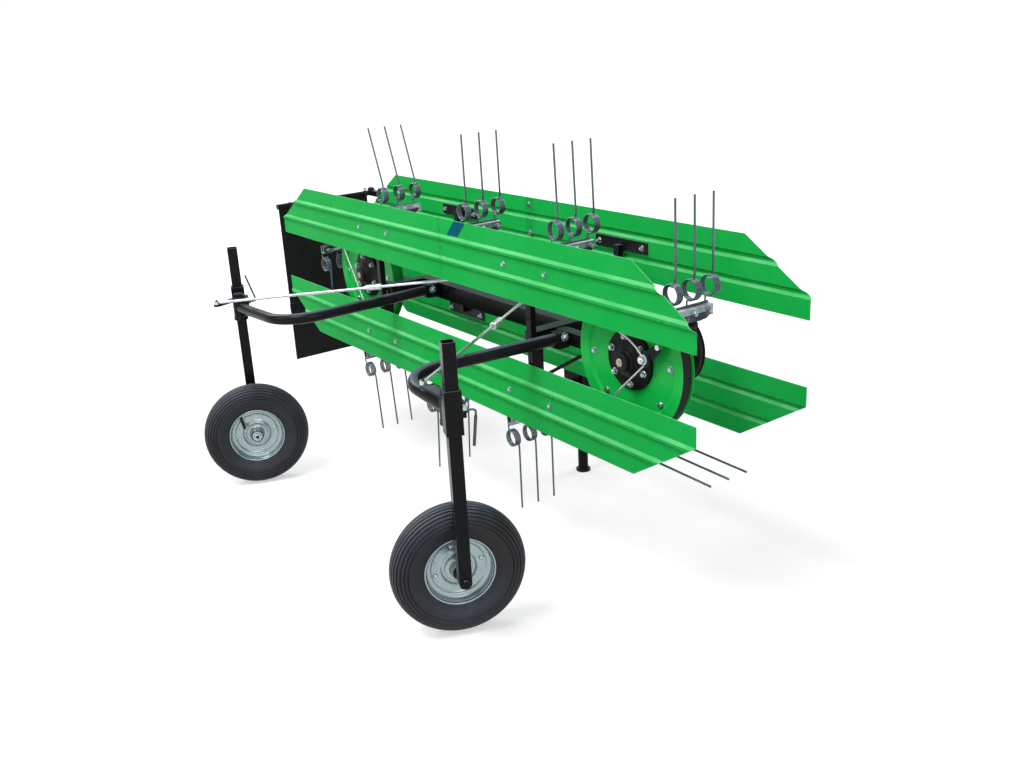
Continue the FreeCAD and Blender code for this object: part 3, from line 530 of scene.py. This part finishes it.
SLOT_FINISH = {"green_paint": GREEN, "black_paint": BLACK, "gearbox_paint": CAST,
               "zinc": ZINC, "spring_steel": SPRING, "belt_rubber": BELT,
               "board_rubber": BOARD, "tyre": TYRE}
for entry in frame["record"]["subparts"]:
    mesh = frame["nodes"][entry["node"]].data
    finish = SLOT_FINISH[entry["material_slot"]]
    if mesh.materials:
        for k in range(len(mesh.materials)):
            mesh.materials[k] = finish
    else:
        mesh.materials.append(finish)
for name in ("pulley_hubs", "drive_pulleys", "arm_brackets"):
    frame["nodes"][name].data.materials[0] = CAST
frame["nodes"]["tine_brackets"].data.materials[0] = BRACKET_ZINC


# ---- spring tines --------------------------------------------------------
BELT_Y, PITCH = -135.0, 70.0
COIL_MID, TINE_LEN, FULL_TURNS, COIL_WIRE, WIRE_R = 28.0, 254.7, 3, 2.55, 3.3
COIL_DRIFT, ROOT_DEEP, RAIL_DEEP, RAIL_SHIFT = 10.6, 48.5, 64.0, -4.0
# coil centre X and Z, wire direction in degrees, wire offset from the coil's middle
TOP_UNITS = ((-371.0, 1138.0, 106.5, 0.0), (178.0, 1138.0, 88.0, 0.0),
             (669.0, 1138.0, 89.5, 0.0), (1158.0, 1030.0, 88.5, 0.0))
LOW_UNITS = ((395.0, 390.0, -87.5, 18.0), (-126.0, 368.0, -91.0, 18.0),
             (-612.0, 391.0, -80.5, 18.0))
END_UNITS = ((1044.0, 541.0, 0.0, -18.0), (-925.0, 790.0, -90.0, 18.0))
ROW = (-1, 0, 1)


def wire_axes(angle):
    """Wire direction n = (cos a, 0, sin a) and the sideways t = (sin a, 0, -cos a)."""
    a = math.radians(angle)
    return np.array([math.cos(a), 0, math.sin(a)]), np.array([math.sin(a), 0, -math.cos(a)])


def coil_path(angle, aside):
    """Root, helix about Y and straight wire, in the tine's own plane (t, n).

    The helix is R (cos q t + sin q n) + drift Y, with q from straight below to where
    R cos q = -aside, over three full turns more. It turns the way that leaves the coil
    towards n. Quadratic bends lead from the root and into the straight run.
    """
    n, t = wire_axes(angle)
    hand = -1.0 if aside > 0 else 1.0
    leave = math.acos(-aside / COIL_MID)
    first = 1.5 * math.pi if hand < 0 else -0.5 * math.pi
    q = np.linspace(first - hand * FULL_TURNS * 2 * np.pi, leave, 34 * (FULL_TURNS + 1))
    drift = np.linspace(-COIL_DRIFT, COIL_DRIFT, len(q))
    ring = COIL_MID * (np.cos(q)[:, None] * t + np.sin(q)[:, None] * n) + drift[:, None] * Y
    w = np.linspace(0, 1, 7)[:-1, None]
    side = -hand * 6.0 * t - COIL_DRIFT * Y
    low, high, turn = side - ROOT_DEEP * n, side - 35.0 * n, side - COIL_MID * n
    root = np.vstack([low, (low + high) / 2,
                      (1 - w) ** 2 * high + 2 * w * (1 - w) * turn + w ** 2 * ring[0]])
    end = ring[-1]
    knee = end + n * 13.0
    before = end + unit(end - ring[-2]) * 5.0
    w = np.linspace(0, 1, 8)[1:, None]
    bend = (1 - w) ** 2 * end + 2 * w * (1 - w) * before + w ** 2 * knee
    tip = -aside * t + TINE_LEN * n + 3.0 * Y
    return np.vstack([root, ring, bend, 0.5 * tip + 0.5 * knee, tip])


def tine_set(name, units, node):
    """Each row's wire is coil_path() with its section swept along, set at the row's centre
    and again one pitch to either side along Y."""
    parts = []
    for x, z, angle, aside in units:
        path = coil_path(angle, aside)
        radius = np.full(len(path), COIL_WIRE)
        radius[-8:] = WIRE_R
        wire = sweep(path, radius, 10, Y)
        spots = [(x, BELT_Y + k * PITCH, z) for k in ROW]
        parts.append(copies(wire, spots, [np.eye(3)] * 3))
    piece(name, parts, SPRING, "frame", (node,), 50)


tine_set("top_tine_springs", TOP_UNITS, "top_spring_tines")
tine_set("lower_tine_springs", LOW_UNITS, "lower_spring_tines")
tine_set("end_tine_springs", END_UNITS, "end_spring_tines")

clamp_bolt = hex_fastener(13.0, 6.0, 9.0, 1.8, 4.0)
clamps, root_bars, wings = [], [], []
for x, z, angle, aside in TOP_UNITS + LOW_UNITS + END_UNITS:
    n, t = wire_axes(angle)
    base = np.array([x, BELT_Y + RAIL_SHIFT, z]) - n * RAIL_DEEP
    spots = [base + Y * y + t * 13.0 for y in (-56.0, 4.0, 60.0)]
    clamps += [fasteners(clamp_bolt, spots, t),
               fasteners(clamp_bolt, [s - t * 26.0 for s in spots], -t)]
    side = t * (6.0 if aside > 0 else -6.0)
    top = base + n * 18.2 + side
    root_bars.append(straight(top - Y * 73.0, top + Y * 73.0, 3.2, 12))
    for way in (1.0, -1.0):
        face = base + t * 13.2 * way
        wing = [face + Y * y - n * deep for y, deep in
                ((-66, 4), (-44, 19), (20, 23), (50, 20), (70, 4))]
        wings.append(prism(rounded(wing + wing[:1], 5.0, 4)[:-1], t * way, 2.6))
piece("tine_clamp_bolts", clamps, PLATED, "frame")
# the wings under the rails take the darker zinc, painted shade
piece("rail_wings", wings, SHADED_WING_ZINC, "frame", (), 30, 0.5)
piece("tine_root_bars", root_bars, SPRING, "frame", (), 50)
piece("end_rail_stub", [spindle([(11.0, -19.0), (11.4, -18.0), (11.4, 18.0), (11.0, 19.0)],
                                (1158.0, -139.0, 931.0), Y, 32)], BLACK, "frame",
      (), 30)

# ---- pulleys, hubs and their fittings ------------------------------------
AXLES = (-648.0, 932.0)
AXLE_Z, FRONT_Y = 784.0, -158.0
DISC = [(92, 10), (174, 10), (182, 2), (200, 2), (218, 0), (218, 2.5), (198, 5), (198, 41),
        (218, 43.5), (218, 46), (200, 44), (192, 44), (192, 8), (186, 8), (178, 14), (92, 14)]
HUB = [(0.2, -36), (27, -36), (30, -33), (31, -22), (37, -18), (38, -14), (52, -6), (91, 0),
       (91, 14), (98, 14.2), (98, 20), (40, 20), (40, 44), (0.2, 44)]


def ring_of(count, radius, start, y, x):
    """Places (x + r cos q, y, axle + r sin q), with q in equal steps from the start."""
    q = math.radians(start) + np.arange(count) * 2 * np.pi / count
    return np.stack([x + radius * np.cos(q), y + 0 * q, AXLE_Z + radius * np.sin(q)], -1)


for side, x in zip(("left", "right"), AXLES):
    piece(side + "_pulley_disc", [revolve(rounded(DISC, 1.6, 4), (x, FRONT_Y, AXLE_Z), Y, 180)],
          PULLEY_GREEN, "frame", (side + "_belt_pulley",), 30)
piece("hub_castings", [spindle(rounded(HUB, 1.6, 4), (x, FRONT_Y, AXLE_Z), Y, 96)
                       for x in AXLES], CAST, "frame", ("pulley_hubs",), 30)
piece("shaft_ends", [spindle([(12.6, -36.2), (12.6, -38.0), (11.4, -39.2), (3.6, -39.2),
                              (2.4, -37.4)], (x, FRONT_Y, AXLE_Z), Y, 40) for x in AXLES],
      STEEL, "frame", (), 30)
rim_bolt = hex_fastener(13.0, 6.5, 10.0, 1.8)
hub_bolt = hex_fastener(15.0, 8.0, 10.5, 2.0, 3.0)
piece("pulley_bolts",
      [fasteners(rim_bolt, ring_of(8, 163.0, 3.0, FRONT_Y + 10.0, x), -Y) for x in AXLES]
      + [fasteners(hub_bolt, ring_of(6, 72.0, -81.0, FRONT_Y - 3.0, x), -Y) for x in AXLES],
      PLATED, "frame", (), 30)

# lug, anchor bolt and guard wires in front of the right pulley, wire at the left one
LUG_Y = -176.0
lug = rounded([(1000, LUG_Y, 818), (1006, LUG_Y, 788), (1034, LUG_Y, 800), (1080, LUG_Y, 848),
               (1066, LUG_Y, 868), (1000, LUG_Y, 818)], 11.0, 6)[:-1]
piece("wire_lug", [prism(lug, Y, 5.0),
                   spindle([(25, -0.4), (25, 3.2), (23.6, 4.4), (2, 4.4)], (1018, LUG_Y, 811),
                           -Y, 40)], BLACK, "frame", (), 30, 0.6)
piece("wire_anchor_bolt", [fasteners(hex_fastener(21.0, 11.0, 15.5, 2.5, 3.0),
                                     [(1018, LUG_Y - 4.6, 811)], -Y),
                           spindle([(7, -171.2), (7, -159)], (1018, 0, 811), Y, 16),
                           straight((1072, LUG_Y - 5, 858), (1072, LUG_Y + 12, 858), 8.2, 24)],
      ZINC, "frame")
upper_guard = rounded([(1020, -182, 812), (999, -181, 835), (960, -184, 862),
                       (860, -206, 912)], 40.0, 8)
piece("guard_wires", [sweep(upper_guard, 3.3, 12, Y),
                      straight((1022, -181, 795), (872, -196, 645), 3.3),
                      straight((-752, -206, 911), (-588, -206, 659), 3.0)],
      ZINC, "frame", (), 60)

# ---- bolts of the sheet plates, seams and the blank plate ----------------
MID_Z, REACH, BOLT_OUT = 790.0, 212.0, 107.0


def bolt_spots(posts):
    """X and Z of the bolts: either side of each post, on the lower and the upper plate."""
    return [(x + d * BOLT_OUT, MID_Z + s * REACH) for x in posts
            for d in (-1, 1) for s in (-1, 1)]


FRONT_BOLTS, REAR_BOLTS = bolt_spots((-437.0, 529.0)), bolt_spots((-499.0, 484.0))


def at_y(spots, y):
    """Spots given by X and Z, set at one Y."""
    return [(a, y, c) for a, c in spots]


plate_bolt = hex_fastener(12.0, 6.0, 8.6, 1.6)
plate_nut = hex_fastener(13.0, 6.5, 9.5, 1.5, 6.0)
piece("plate_bolts",
      [fasteners(plate_bolt, at_y(FRONT_BOLTS, -225.5), -Y),
       fasteners(plate_bolt, at_y(REAR_BOLTS, 225.5), Y),
       fasteners(plate_nut, at_y(REAR_BOLTS, 216.5), -Y),
       fasteners(plate_nut, at_y(FRONT_BOLTS, -216.5), Y)], PLATED, "frame")

RIBS = [(0, 0), (0, 60), (9, 68), (9, 76), (0, 84), (0, 137), (9, 145), (9, 153), (0, 161),
        (0, 217)]
# strip: side, near X, length along X, offset from the sheet's middle, upper or lower
SEAMS = ((-1.0, 38.0, 13.0, 1.6, 1.0), (-1.0, 38.0, 13.0, 1.6, -1.0),
         (1.0, -54.0, 48.0, -1.7, 1.0), (1.0, -54.0, 48.0, -1.7, -1.0))


def seam_strips():
    """Overlap of each plate's two lengths: the plate's folded section moved off it by the
    offset and drawn out along X."""
    parts = []
    for side, x, long, off, up in SEAMS:
        section = [(x, side * (224.0 + y + off), MID_Z + up * (100.0 + h)) for y, h in RIBS]
        parts.append(sheet_between(section, X, long, 1.0 if side * up * off > 0 else -1.0))
    return parts


# the lap strips take the darker green, painted shade
piece("plate_seams", seam_strips(), SHADED_LAP_GREEN, "frame", (), 25)
SEAM_BOLT_LEVELS = (1081.0, 975.0, 499.0, 605.0)
piece("seam_bolts", [fasteners(plate_bolt, [(-28.0, 221.3, z) for z in SEAM_BOLT_LEVELS], -Y)],
      PLATED, "frame")
blank = [(96, -225.7, 1055), (160, -225.7, 1056), (210, -225.7, 1106), (145, -225.7, 1105)]
piece("blank_plate", [prism(blank, -Y, 1.0)], PLATE_BLUE, "frame", (), 30, 0.3)

# ---- wheels --------------------------------------------------------------
PIVOT = np.array([756.0, -674.0, 0.0])   # right castor pivot; X changes sign for the left
STEER = math.radians(-21.0)
AXLE_DIR = np.array([math.cos(STEER), math.sin(STEER), 0.0])
ACROSS = np.array([-math.sin(STEER), math.cos(STEER), 0.0])
LEG_OFF, WHEEL_OFF, TYRE_R = 56.0, 90.0, 207.0
SIDES = ((-1, "left"), (1, "right"))


def steered(side, along, across=0.0, z=0.0):
    """Castor pivot of that side + along * axle direction + across * its normal + z up."""
    return PIVOT * (side, 1, 1) + AXLE_DIR * along + ACROSS * across + Z * z


OUTSIDE = [(207, 0), (206, 11.8), (202.8, 23.4), (198, 33.6), (190.5, 42), (180, 48),
           (168, 51.6), (156, 52.2), (144, 50), (132, 45.2), (121, 39.6), (114, 36.6),
           (109.4, 34.6)]
INSIDE = [(109.3, 34.3), (101.7, 34.3), (101.7, 22), (118, 26), (140, 38), (162, 42),
          (180, 36), (192, 20)]
GROOVE_ARCS, GROOVE_DEEP, GROOVE_HALF = (9, 21, 33, 45, 57, 69, 80), 3.8, 1.9


def tyre_profile():
    """The outside runs through its knots by arc length a, smoothed, and moves inward along
    its normal by deep * exp(-((a - g) / half)^4) at each groove g and outward by
    0.8 exp(-((r - c) / 1.1)^2) at the two rings by the rim; then bead and inner wall."""
    knots = np.array(OUTSIDE)
    at = np.concatenate([[0], np.cumsum(np.linalg.norm(np.diff(knots, axis=0), axis=1))])
    a = np.linspace(0.0, at[-1], 260)
    line = np.stack([np.interp(a, at, knots[:, 0]), np.interp(a, at, knots[:, 1])], -1)
    wide = np.vstack([line[12:0:-1] * (1, -1), line, np.repeat(line[-1:], 12, 0)])
    line[:-12] = np.stack([np.convolve(wide[:, k], np.ones(25) / 25, "valid")
                           for k in (0, 1)], -1)[:-12]
    t = unit(np.gradient(line, axis=0))
    normal = np.stack([t[:, 1], -t[:, 0]], -1)
    depth = sum(np.exp(-((a - g) / GROOVE_HALF) ** 4) for g in GROOVE_ARCS) * GROOVE_DEEP
    rings = sum(np.exp(-((line[:, 0] - c) / 1.1) ** 2) for c in (122, 116)) * 0.8
    line = line + normal * (rings - depth)[:, None]
    half = np.vstack([line, INSIDE])
    return np.vstack([half, half[:0:-1] * (1, -1)])


# rolled lip, stepped barrel, pressed disc with a raised ring, and the hub tube
RIM = [(108.9, 34.5), (109.0, 36.0), (107.8, 37.3), (105.4, 37.4), (103.7, 36.2),
       (103.2, 32.8), (100.6, 30.6), (99.4, 28.0), (98.8, 15.0), (96.0, 11.8), (90.0, 11.0),
       (86.5, 10.2), (83.5, 6.6), (80.0, 4.4), (60.0, 3.7), (55.0, 5.8), (50.5, 9.4),
       (47.5, 10.6), (44.0, 10.6), (41.5, 8.4), (34.0, 8.4), (29.5, 10.5), (26.0, 15.0),
       (26.0, 38.6), (24.8, 40.0), (10.1, 40.0)]


def rim_profile():
    """The face's outline (r, s), its mirror (r, -s), and the plain bead seat behind."""
    face = rounded(RIM, 1.5, 3)
    return np.vstack([face, face[::-1] * (1, -1),
                      [(101.4, -34.0), (101.4, 34.0)]])


def on_disc(centre, radius, degrees, along):
    """Centre + radius (cos q across + sin q up) + along the axle."""
    q = math.radians(degrees)
    return centre + ACROSS * radius * math.cos(q) + Z * radius * math.sin(q) + AXLE_DIR * along


dome = [(7.0, -0.4), (7.0, 1.2), (5.6, 3.8), (3.4, 5.0), (0.4, 5.4)]
small_dome = [(4.0, -0.4), (3.8, 1.0), (2.6, 2.2), (0.3, 2.6)]
# where the valve's three points lie round the wheel, in degrees, by side
VALVE_TURN = {-1: (125, 128, 144), 1: (93, 93, 93)}
for side, label in SIDES:
    body = label + "_wheel"
    hub = steered(side, side * (LEG_OFF - WHEEL_OFF), 0.0, TYRE_R)
    piece(label + "_tyre_tread", [revolve(tyre_profile(), hub, AXLE_DIR, 150)], TYRE, body,
          (label + "_tyre",), 40)
    piece(label + "_rim_disc", [revolve(rim_profile(), hub, AXLE_DIR, 144)], RIM_ZINC, body,
          (label + "_rim",), 35)
    parts = []
    for way in (1, -1):
        parts += [spindle(dome, on_disc(hub, 73.0, 14 + 90 * k, 4.1 * way), AXLE_DIR * way, 20)
                  for k in range(4)]
        parts += [spindle(small_dome, on_disc(hub, 74.0, -20 + 90 * k, 4.1 * way),
                          AXLE_DIR * way, 14) for k in range(4)]
    piece(label + "_rim_rivets", parts, ZINC, body, (), 50)
    bearing = [(24.6, 38.4), (24.6, 40.3), (23.0, 41.0), (14.0, 41.0), (12.6, 40.2)]
    ends = [spindle(bearing, hub, AXLE_DIR * way, 40) for way in (1, -1)]
    piece(label + "_bearing_seals", ends, KNOB, body, (), 35)
    valve = [on_disc(hub, r, q, s) for r, q, s in zip((97.0, 86.0, 56.0), VALVE_TURN[side],
                                                      (16.0, 24.0, 27.0))]
    piece(label + "_valve", [sweep(rounded(valve, 8, 6), 5.6, 16, AXLE_DIR)], KNOB, body,
          (), 50)
    end = steered(side, side * (LEG_OFF - WHEEL_OFF - 41.4), 0.0, TYRE_R)
    piece(label + "_axle_nut",
          [fasteners(hex_fastener(25.0, 8.0, 20.0, 2.4, 3.0), [end], AXLE_DIR * -side)],
          PLATED, label + "_leg", (), 30)
    piece(label + "_axle_end",
          [spindle([(6.6, 9.0), (6.4, 13.0), (5.2, 13.8)], end, AXLE_DIR * -side, 24)],
          CAST, label + "_leg", (), 30)

# ---- castor fittings -----------------------------------------------------
for side, label in SIDES:
    body = label + "_castor"
    top = PIVOT * (side, 1, 1) + Z * 766.3
    piece(label + "_pivot_nut",
          [fasteners(hex_fastener(40.0, 13.0, 25.0, 2.6), [top], Z)],
          BLACK, body, (), 30)
    face = steered(side, side * LEG_OFF + 14.2, 31.0, 745.0)
    piece(label + "_sleeve_bolt",
          [fasteners(hex_fastener(13.0, 7.0, 10.0, 1.8), [face], AXLE_DIR)], PLATED, body)
    start = steered(side, side * LEG_OFF, 37.2, 731.0)
    knee = start + ACROSS * 30.0
    tip = knee + (ACROSS * -32.0 + Z * 107.0 if side < 0 else ACROSS * -12.0 - Z * 108.0)
    path = rounded([start, knee, tip], 14.0, 10)
    parts = [sweep(path, 3.6 if side < 0 else 3.1, 14, AXLE_DIR),
             fasteners(hex_fastener(15.0, 6.0, 9.0, 1.6), [start - ACROSS * 0.2], ACROSS)]
    piece(label + "_clamp_bar", parts, SPRING, body,
          (label + "_clamp_handle",), 40)
    if side > 0:
        down = unit(tip - knee)
        sleeve_top = knee + down * 18.0
        piece(label + "_handle_grip",
              [sweep(np.stack([sleeve_top, sleeve_top + down * 2, tip - down * 2, tip]),
                     (4.0, 4.6, 4.6, 4.0), 18, AXLE_DIR)], GRIP, body, (), 40)

# ---- tie rods ------------------------------------------------------------
LEVER_LEN, LEVER_Z = 112.0, 762.0
# side, its name, lever direction in degrees, a level just under the rod's end at the
# coupling's pin, and the turnbuckle's place as a share of the rod
BUCKLES = ((-1, "left", -68.0, 862.3, 0.48), (1, "right", 184.5, 839.7, 0.5))
NUT_OUT = 30.2          # lock nut from the turnbuckle's middle
for side, label, lever, level, share in BUCKLES:
    q = math.radians(lever)
    tip = PIVOT * (side, 1, 1) + np.array([math.cos(q), math.sin(q), 0]) * LEVER_LEN
    tip = tip + Z * (LEVER_Z + 10.3)
    pin = np.array([165.0, 176.0, level + 7.0 - side * 2.0])
    d = unit(pin - tip)
    mid = tip + (pin - tip) * share
    sleeve = [(9.4, -29.8), (11.4, -28.2), (11.6, -12), (11.3, 0), (11.6, 12), (11.4, 28.2),
              (9.4, 29.8)]
    piece(label + "_rod_fittings",
          [fasteners(hex_fastener(15.0, 8.0), [mid - d * NUT_OUT], -d),
           spindle([(6.4, 29.6), (6.4, 33.0), (5.4, 34.0)], mid, d, 20),
           spindle(sleeve, mid, d, 28)], ZINC, label + "_rod")
    piece(label + "_rod_pin_nut",
          [spindle([(10.6, -0.2), (11.0, 0.8), (11.0, 2.4), (10.2, 3.2)], tip, Z, 28),
           fasteners(hex_fastener(9.0, 4.0, 7.0, 1.4, 3.0), [tip + Z * 3.2], Z)],
          BLACK, label + "_rod")

# ---- arm roots, board and coupling fittings ------------------------------
root_bolt = hex_fastener(19.0, 10.0, 15.0, 2.4, 3.0)
piece("arm_root_bolts", [fasteners(root_bolt, [(-267.8, -80.0, 770.0)], X),
                         fasteners(root_bolt, [(599.2, -128.0, 776.0)], X)],
      PLATED, "frame")

BOARD_X = -1290.0
BOARD_BOLTS = (-200, -70, 60, 190)     # along Y, in both rows
STRIP_LEVEL, STIFFENER_LEVEL = 968.0, 533.0
collar = [(12.2, -8), (13.0, -8), (13.7, -6), (13.8, 0), (13.7, 6), (13.0, 8), (12.2, 8)]
knob = [(4.0, -2.0), (11.0, -1.0), (15.6, 3.0), (16.6, 9.0), (14.6, 14.5), (8.0, 17.5),
        (0.4, 18.2)]
piece("board_collars", [revolve(collar, (BOARD_X, y, 1000.0), Y, 48) for y in (-180.0, 204.0)]
      + [spindle(knob, (BOARD_X + 2.8, 236.0, 1008.5), Z, 40)], KNOB, "frame")


def board_row(off, level):
    """One row of bolt places on the board, off its middle plane by the given distance."""
    return [(BOARD_X + off, y, level) for y in BOARD_BOLTS]


board_bolt = hex_fastener(11.0, 5.0, 10.0, 1.5)
piece("board_bolts",
      [fasteners(board_bolt, board_row(2.6, STRIP_LEVEL) + board_row(8.8, STIFFENER_LEVEL), X),
       fasteners(board_bolt, board_row(-2.7, STIFFENER_LEVEL), -X),
       fasteners(board_bolt, board_row(-7.4, STRIP_LEVEL), -X)],
      BLACK, "frame")
piece("board_bar_bolt",
      [fasteners(hex_fastener(13.0, 7.0, 10.0, 1.8, 4.0), [(BOARD_X, 204.0, 1016.8)], Z)],
      PLATED, "frame")
piece("board_clamp_strip", [block((BOARD_X - 8.2, -232, 955), (BOARD_X - 2.6, 208, 981))],
      BLACK, "frame", (), 30, 0.8)

# ---- floor, light and camera ---------------------------------------------
NEAR_GLOW, FAR_GLOW, GLOW_START, GLOW_END = 0.50, 1.0, 2.2, 5.0
WORLD_LIGHT = 0.42
FLOOR_HALF = 40.0       # metres


def background_rays(n):
    """1 for the rays that show a background (camera, glossy, transmission), otherwise 0."""
    ray = n.add("ShaderNodeLightPath").outputs
    return n.math("MAXIMUM", n.math("MAXIMUM", ray["Is Camera Ray"], ray["Is Glossy Ray"]),
                  ray["Is Transmission Ray"])


def stage_finish():
    """Pale diffuse floor; rays that show a background add a glow that rises from NEAR_GLOW
    close by to FAR_GLOW between GLOW_START and GLOW_END metres from the middle."""
    mat = bpy.data.materials.new("pale_floor")
    mat.use_nodes = True
    n = Nodes(mat.node_tree)
    mat.node_tree.nodes.clear()
    seen = background_rays(n)
    far = n.add("ShaderNodeVectorMath", operation="LENGTH")
    n.put(far.inputs[0], n.add("ShaderNodeTexCoord").outputs["Object"])
    glow_level = n.span(far.outputs["Value"], GLOW_START, GLOW_END, NEAR_GLOW, FAR_GLOW)
    base = n.add("ShaderNodeBsdfDiffuse", inputs={"Color": (0.55, 0.55, 0.55, 1)})
    glow = n.add("ShaderNodeEmission",
                 inputs={"Color": (1, 1, 1, 1), "Strength": n.math("MULTIPLY", seen, glow_level)})
    both = n.add("ShaderNodeAddShader")
    n.put(both.inputs[0], base.outputs[0])
    n.put(both.inputs[1], glow.outputs[0])
    n.put(n.add("ShaderNodeOutputMaterial").inputs["Surface"], both.outputs[0])
    return mat


def floor():
    """A flat square on the ground, FLOOR_HALF to each side of the middle."""
    h = FLOOR_HALF
    mesh = bpy.data.meshes.new("floor")
    mesh.from_pydata([(-h, -h, 0), (h, -h, 0), (h, h, 0), (-h, h, 0)], [], [(0, 1, 2, 3)])
    obj = bpy.data.objects.new("floor", mesh)
    bpy.context.scene.collection.objects.link(obj)
    mesh.materials.append(stage_finish())


def world_light():
    """White for rays that show a background, WORLD_LIGHT for the light on the object."""
    world = bpy.data.worlds.new("studio")
    bpy.context.scene.world = world
    world.use_nodes = True
    n = Nodes(world.node_tree)
    world.node_tree.nodes.clear()
    seen = background_rays(n)
    strength = n.math("ADD", n.math("MULTIPLY", seen, 1.0 - WORLD_LIGHT), WORLD_LIGHT)
    sky = n.add("ShaderNodeBackground", inputs={"Color": (1, 1, 1, 1), "Strength": strength})
    n.put(n.add("ShaderNodeOutputWorld").inputs["Surface"], sky.outputs[0])


def lamp(name, spot, target, size, power):
    """A square soft light at the spot, facing the target."""
    data = bpy.data.lights.new(name, "AREA")
    data.size = size
    data.energy = power
    obj = bpy.data.objects.new(name, data)
    bpy.context.scene.collection.objects.link(obj)
    turn = axes_to(np.asarray(spot, float) - np.asarray(target, float))
    grid = Matrix([list(row) + [0] for row in turn] + [[0, 0, 0, 1]])
    obj.matrix_world = Matrix.Translation(spot) @ grid


SENSOR, LENS = 36.0, 36.305332           # sensor width and focal length, mm
SHIFT_ACROSS, SHIFT_UP = 0.0155576, -0.0130352   # lens shift as shares of the view's width
YAW, PITCH, ROLL = 0.972, 0.327, 0.058   # heading, tilt down and roll in radians
CAMERA_SPOT = (3060.918, -2078.34, 1738.892)


def camera():
    """Camera at its spot, turned by its heading, its tilt and a small roll."""
    yaw, pitch, roll = YAW, PITCH, ROLL
    spot = place(CAMERA_SPOT)
    ahead = np.array([-math.sin(yaw) * math.cos(pitch), math.cos(yaw) * math.cos(pitch),
                      -math.sin(pitch)])
    right = np.array([math.cos(yaw), math.sin(yaw), 0.0])
    down = np.cross(ahead, right)
    right, down = (math.cos(roll) * right + math.sin(roll) * down,
                   -math.sin(roll) * right + math.cos(roll) * down)
    data = bpy.data.cameras.new("camera")
    data.sensor_width = SENSOR
    data.lens = LENS
    data.shift_x, data.shift_y = SHIFT_ACROSS, SHIFT_UP
    data.clip_end = 200.0
    obj = bpy.data.objects.new("camera", data)
    bpy.context.scene.collection.objects.link(obj)
    turn = np.stack([right, -down, -ahead], -1)
    obj.matrix_world = Matrix([list(turn[k]) + [float(spot[k])] for k in range(3)]
                              + [[0, 0, 0, 1]])
    bpy.context.scene.camera = obj


floor()
world_light()
lamp("key", (-1.5, -5.6, 3.8), (0, 0, 0.6), 2.6, 75.0)
lamp("top", (0.3, -2.8, 5.2), (0, 0, 0.6), 2.2, 215.0)
lamp("side", (5.5, -1.5, 3.5), (0, 0, 0.6), 2.4, 80.0)
lamp("sky", (-4.8, -0.9, 4.4), (0, 0, 0.8), 2.2, 170.0)
lamp("back", (0.5, 4.5, 4.5), (0, 0, 0.6), 2.6, 90.0)
camera()
bpy.context.scene.view_settings.view_transform = "Standard"
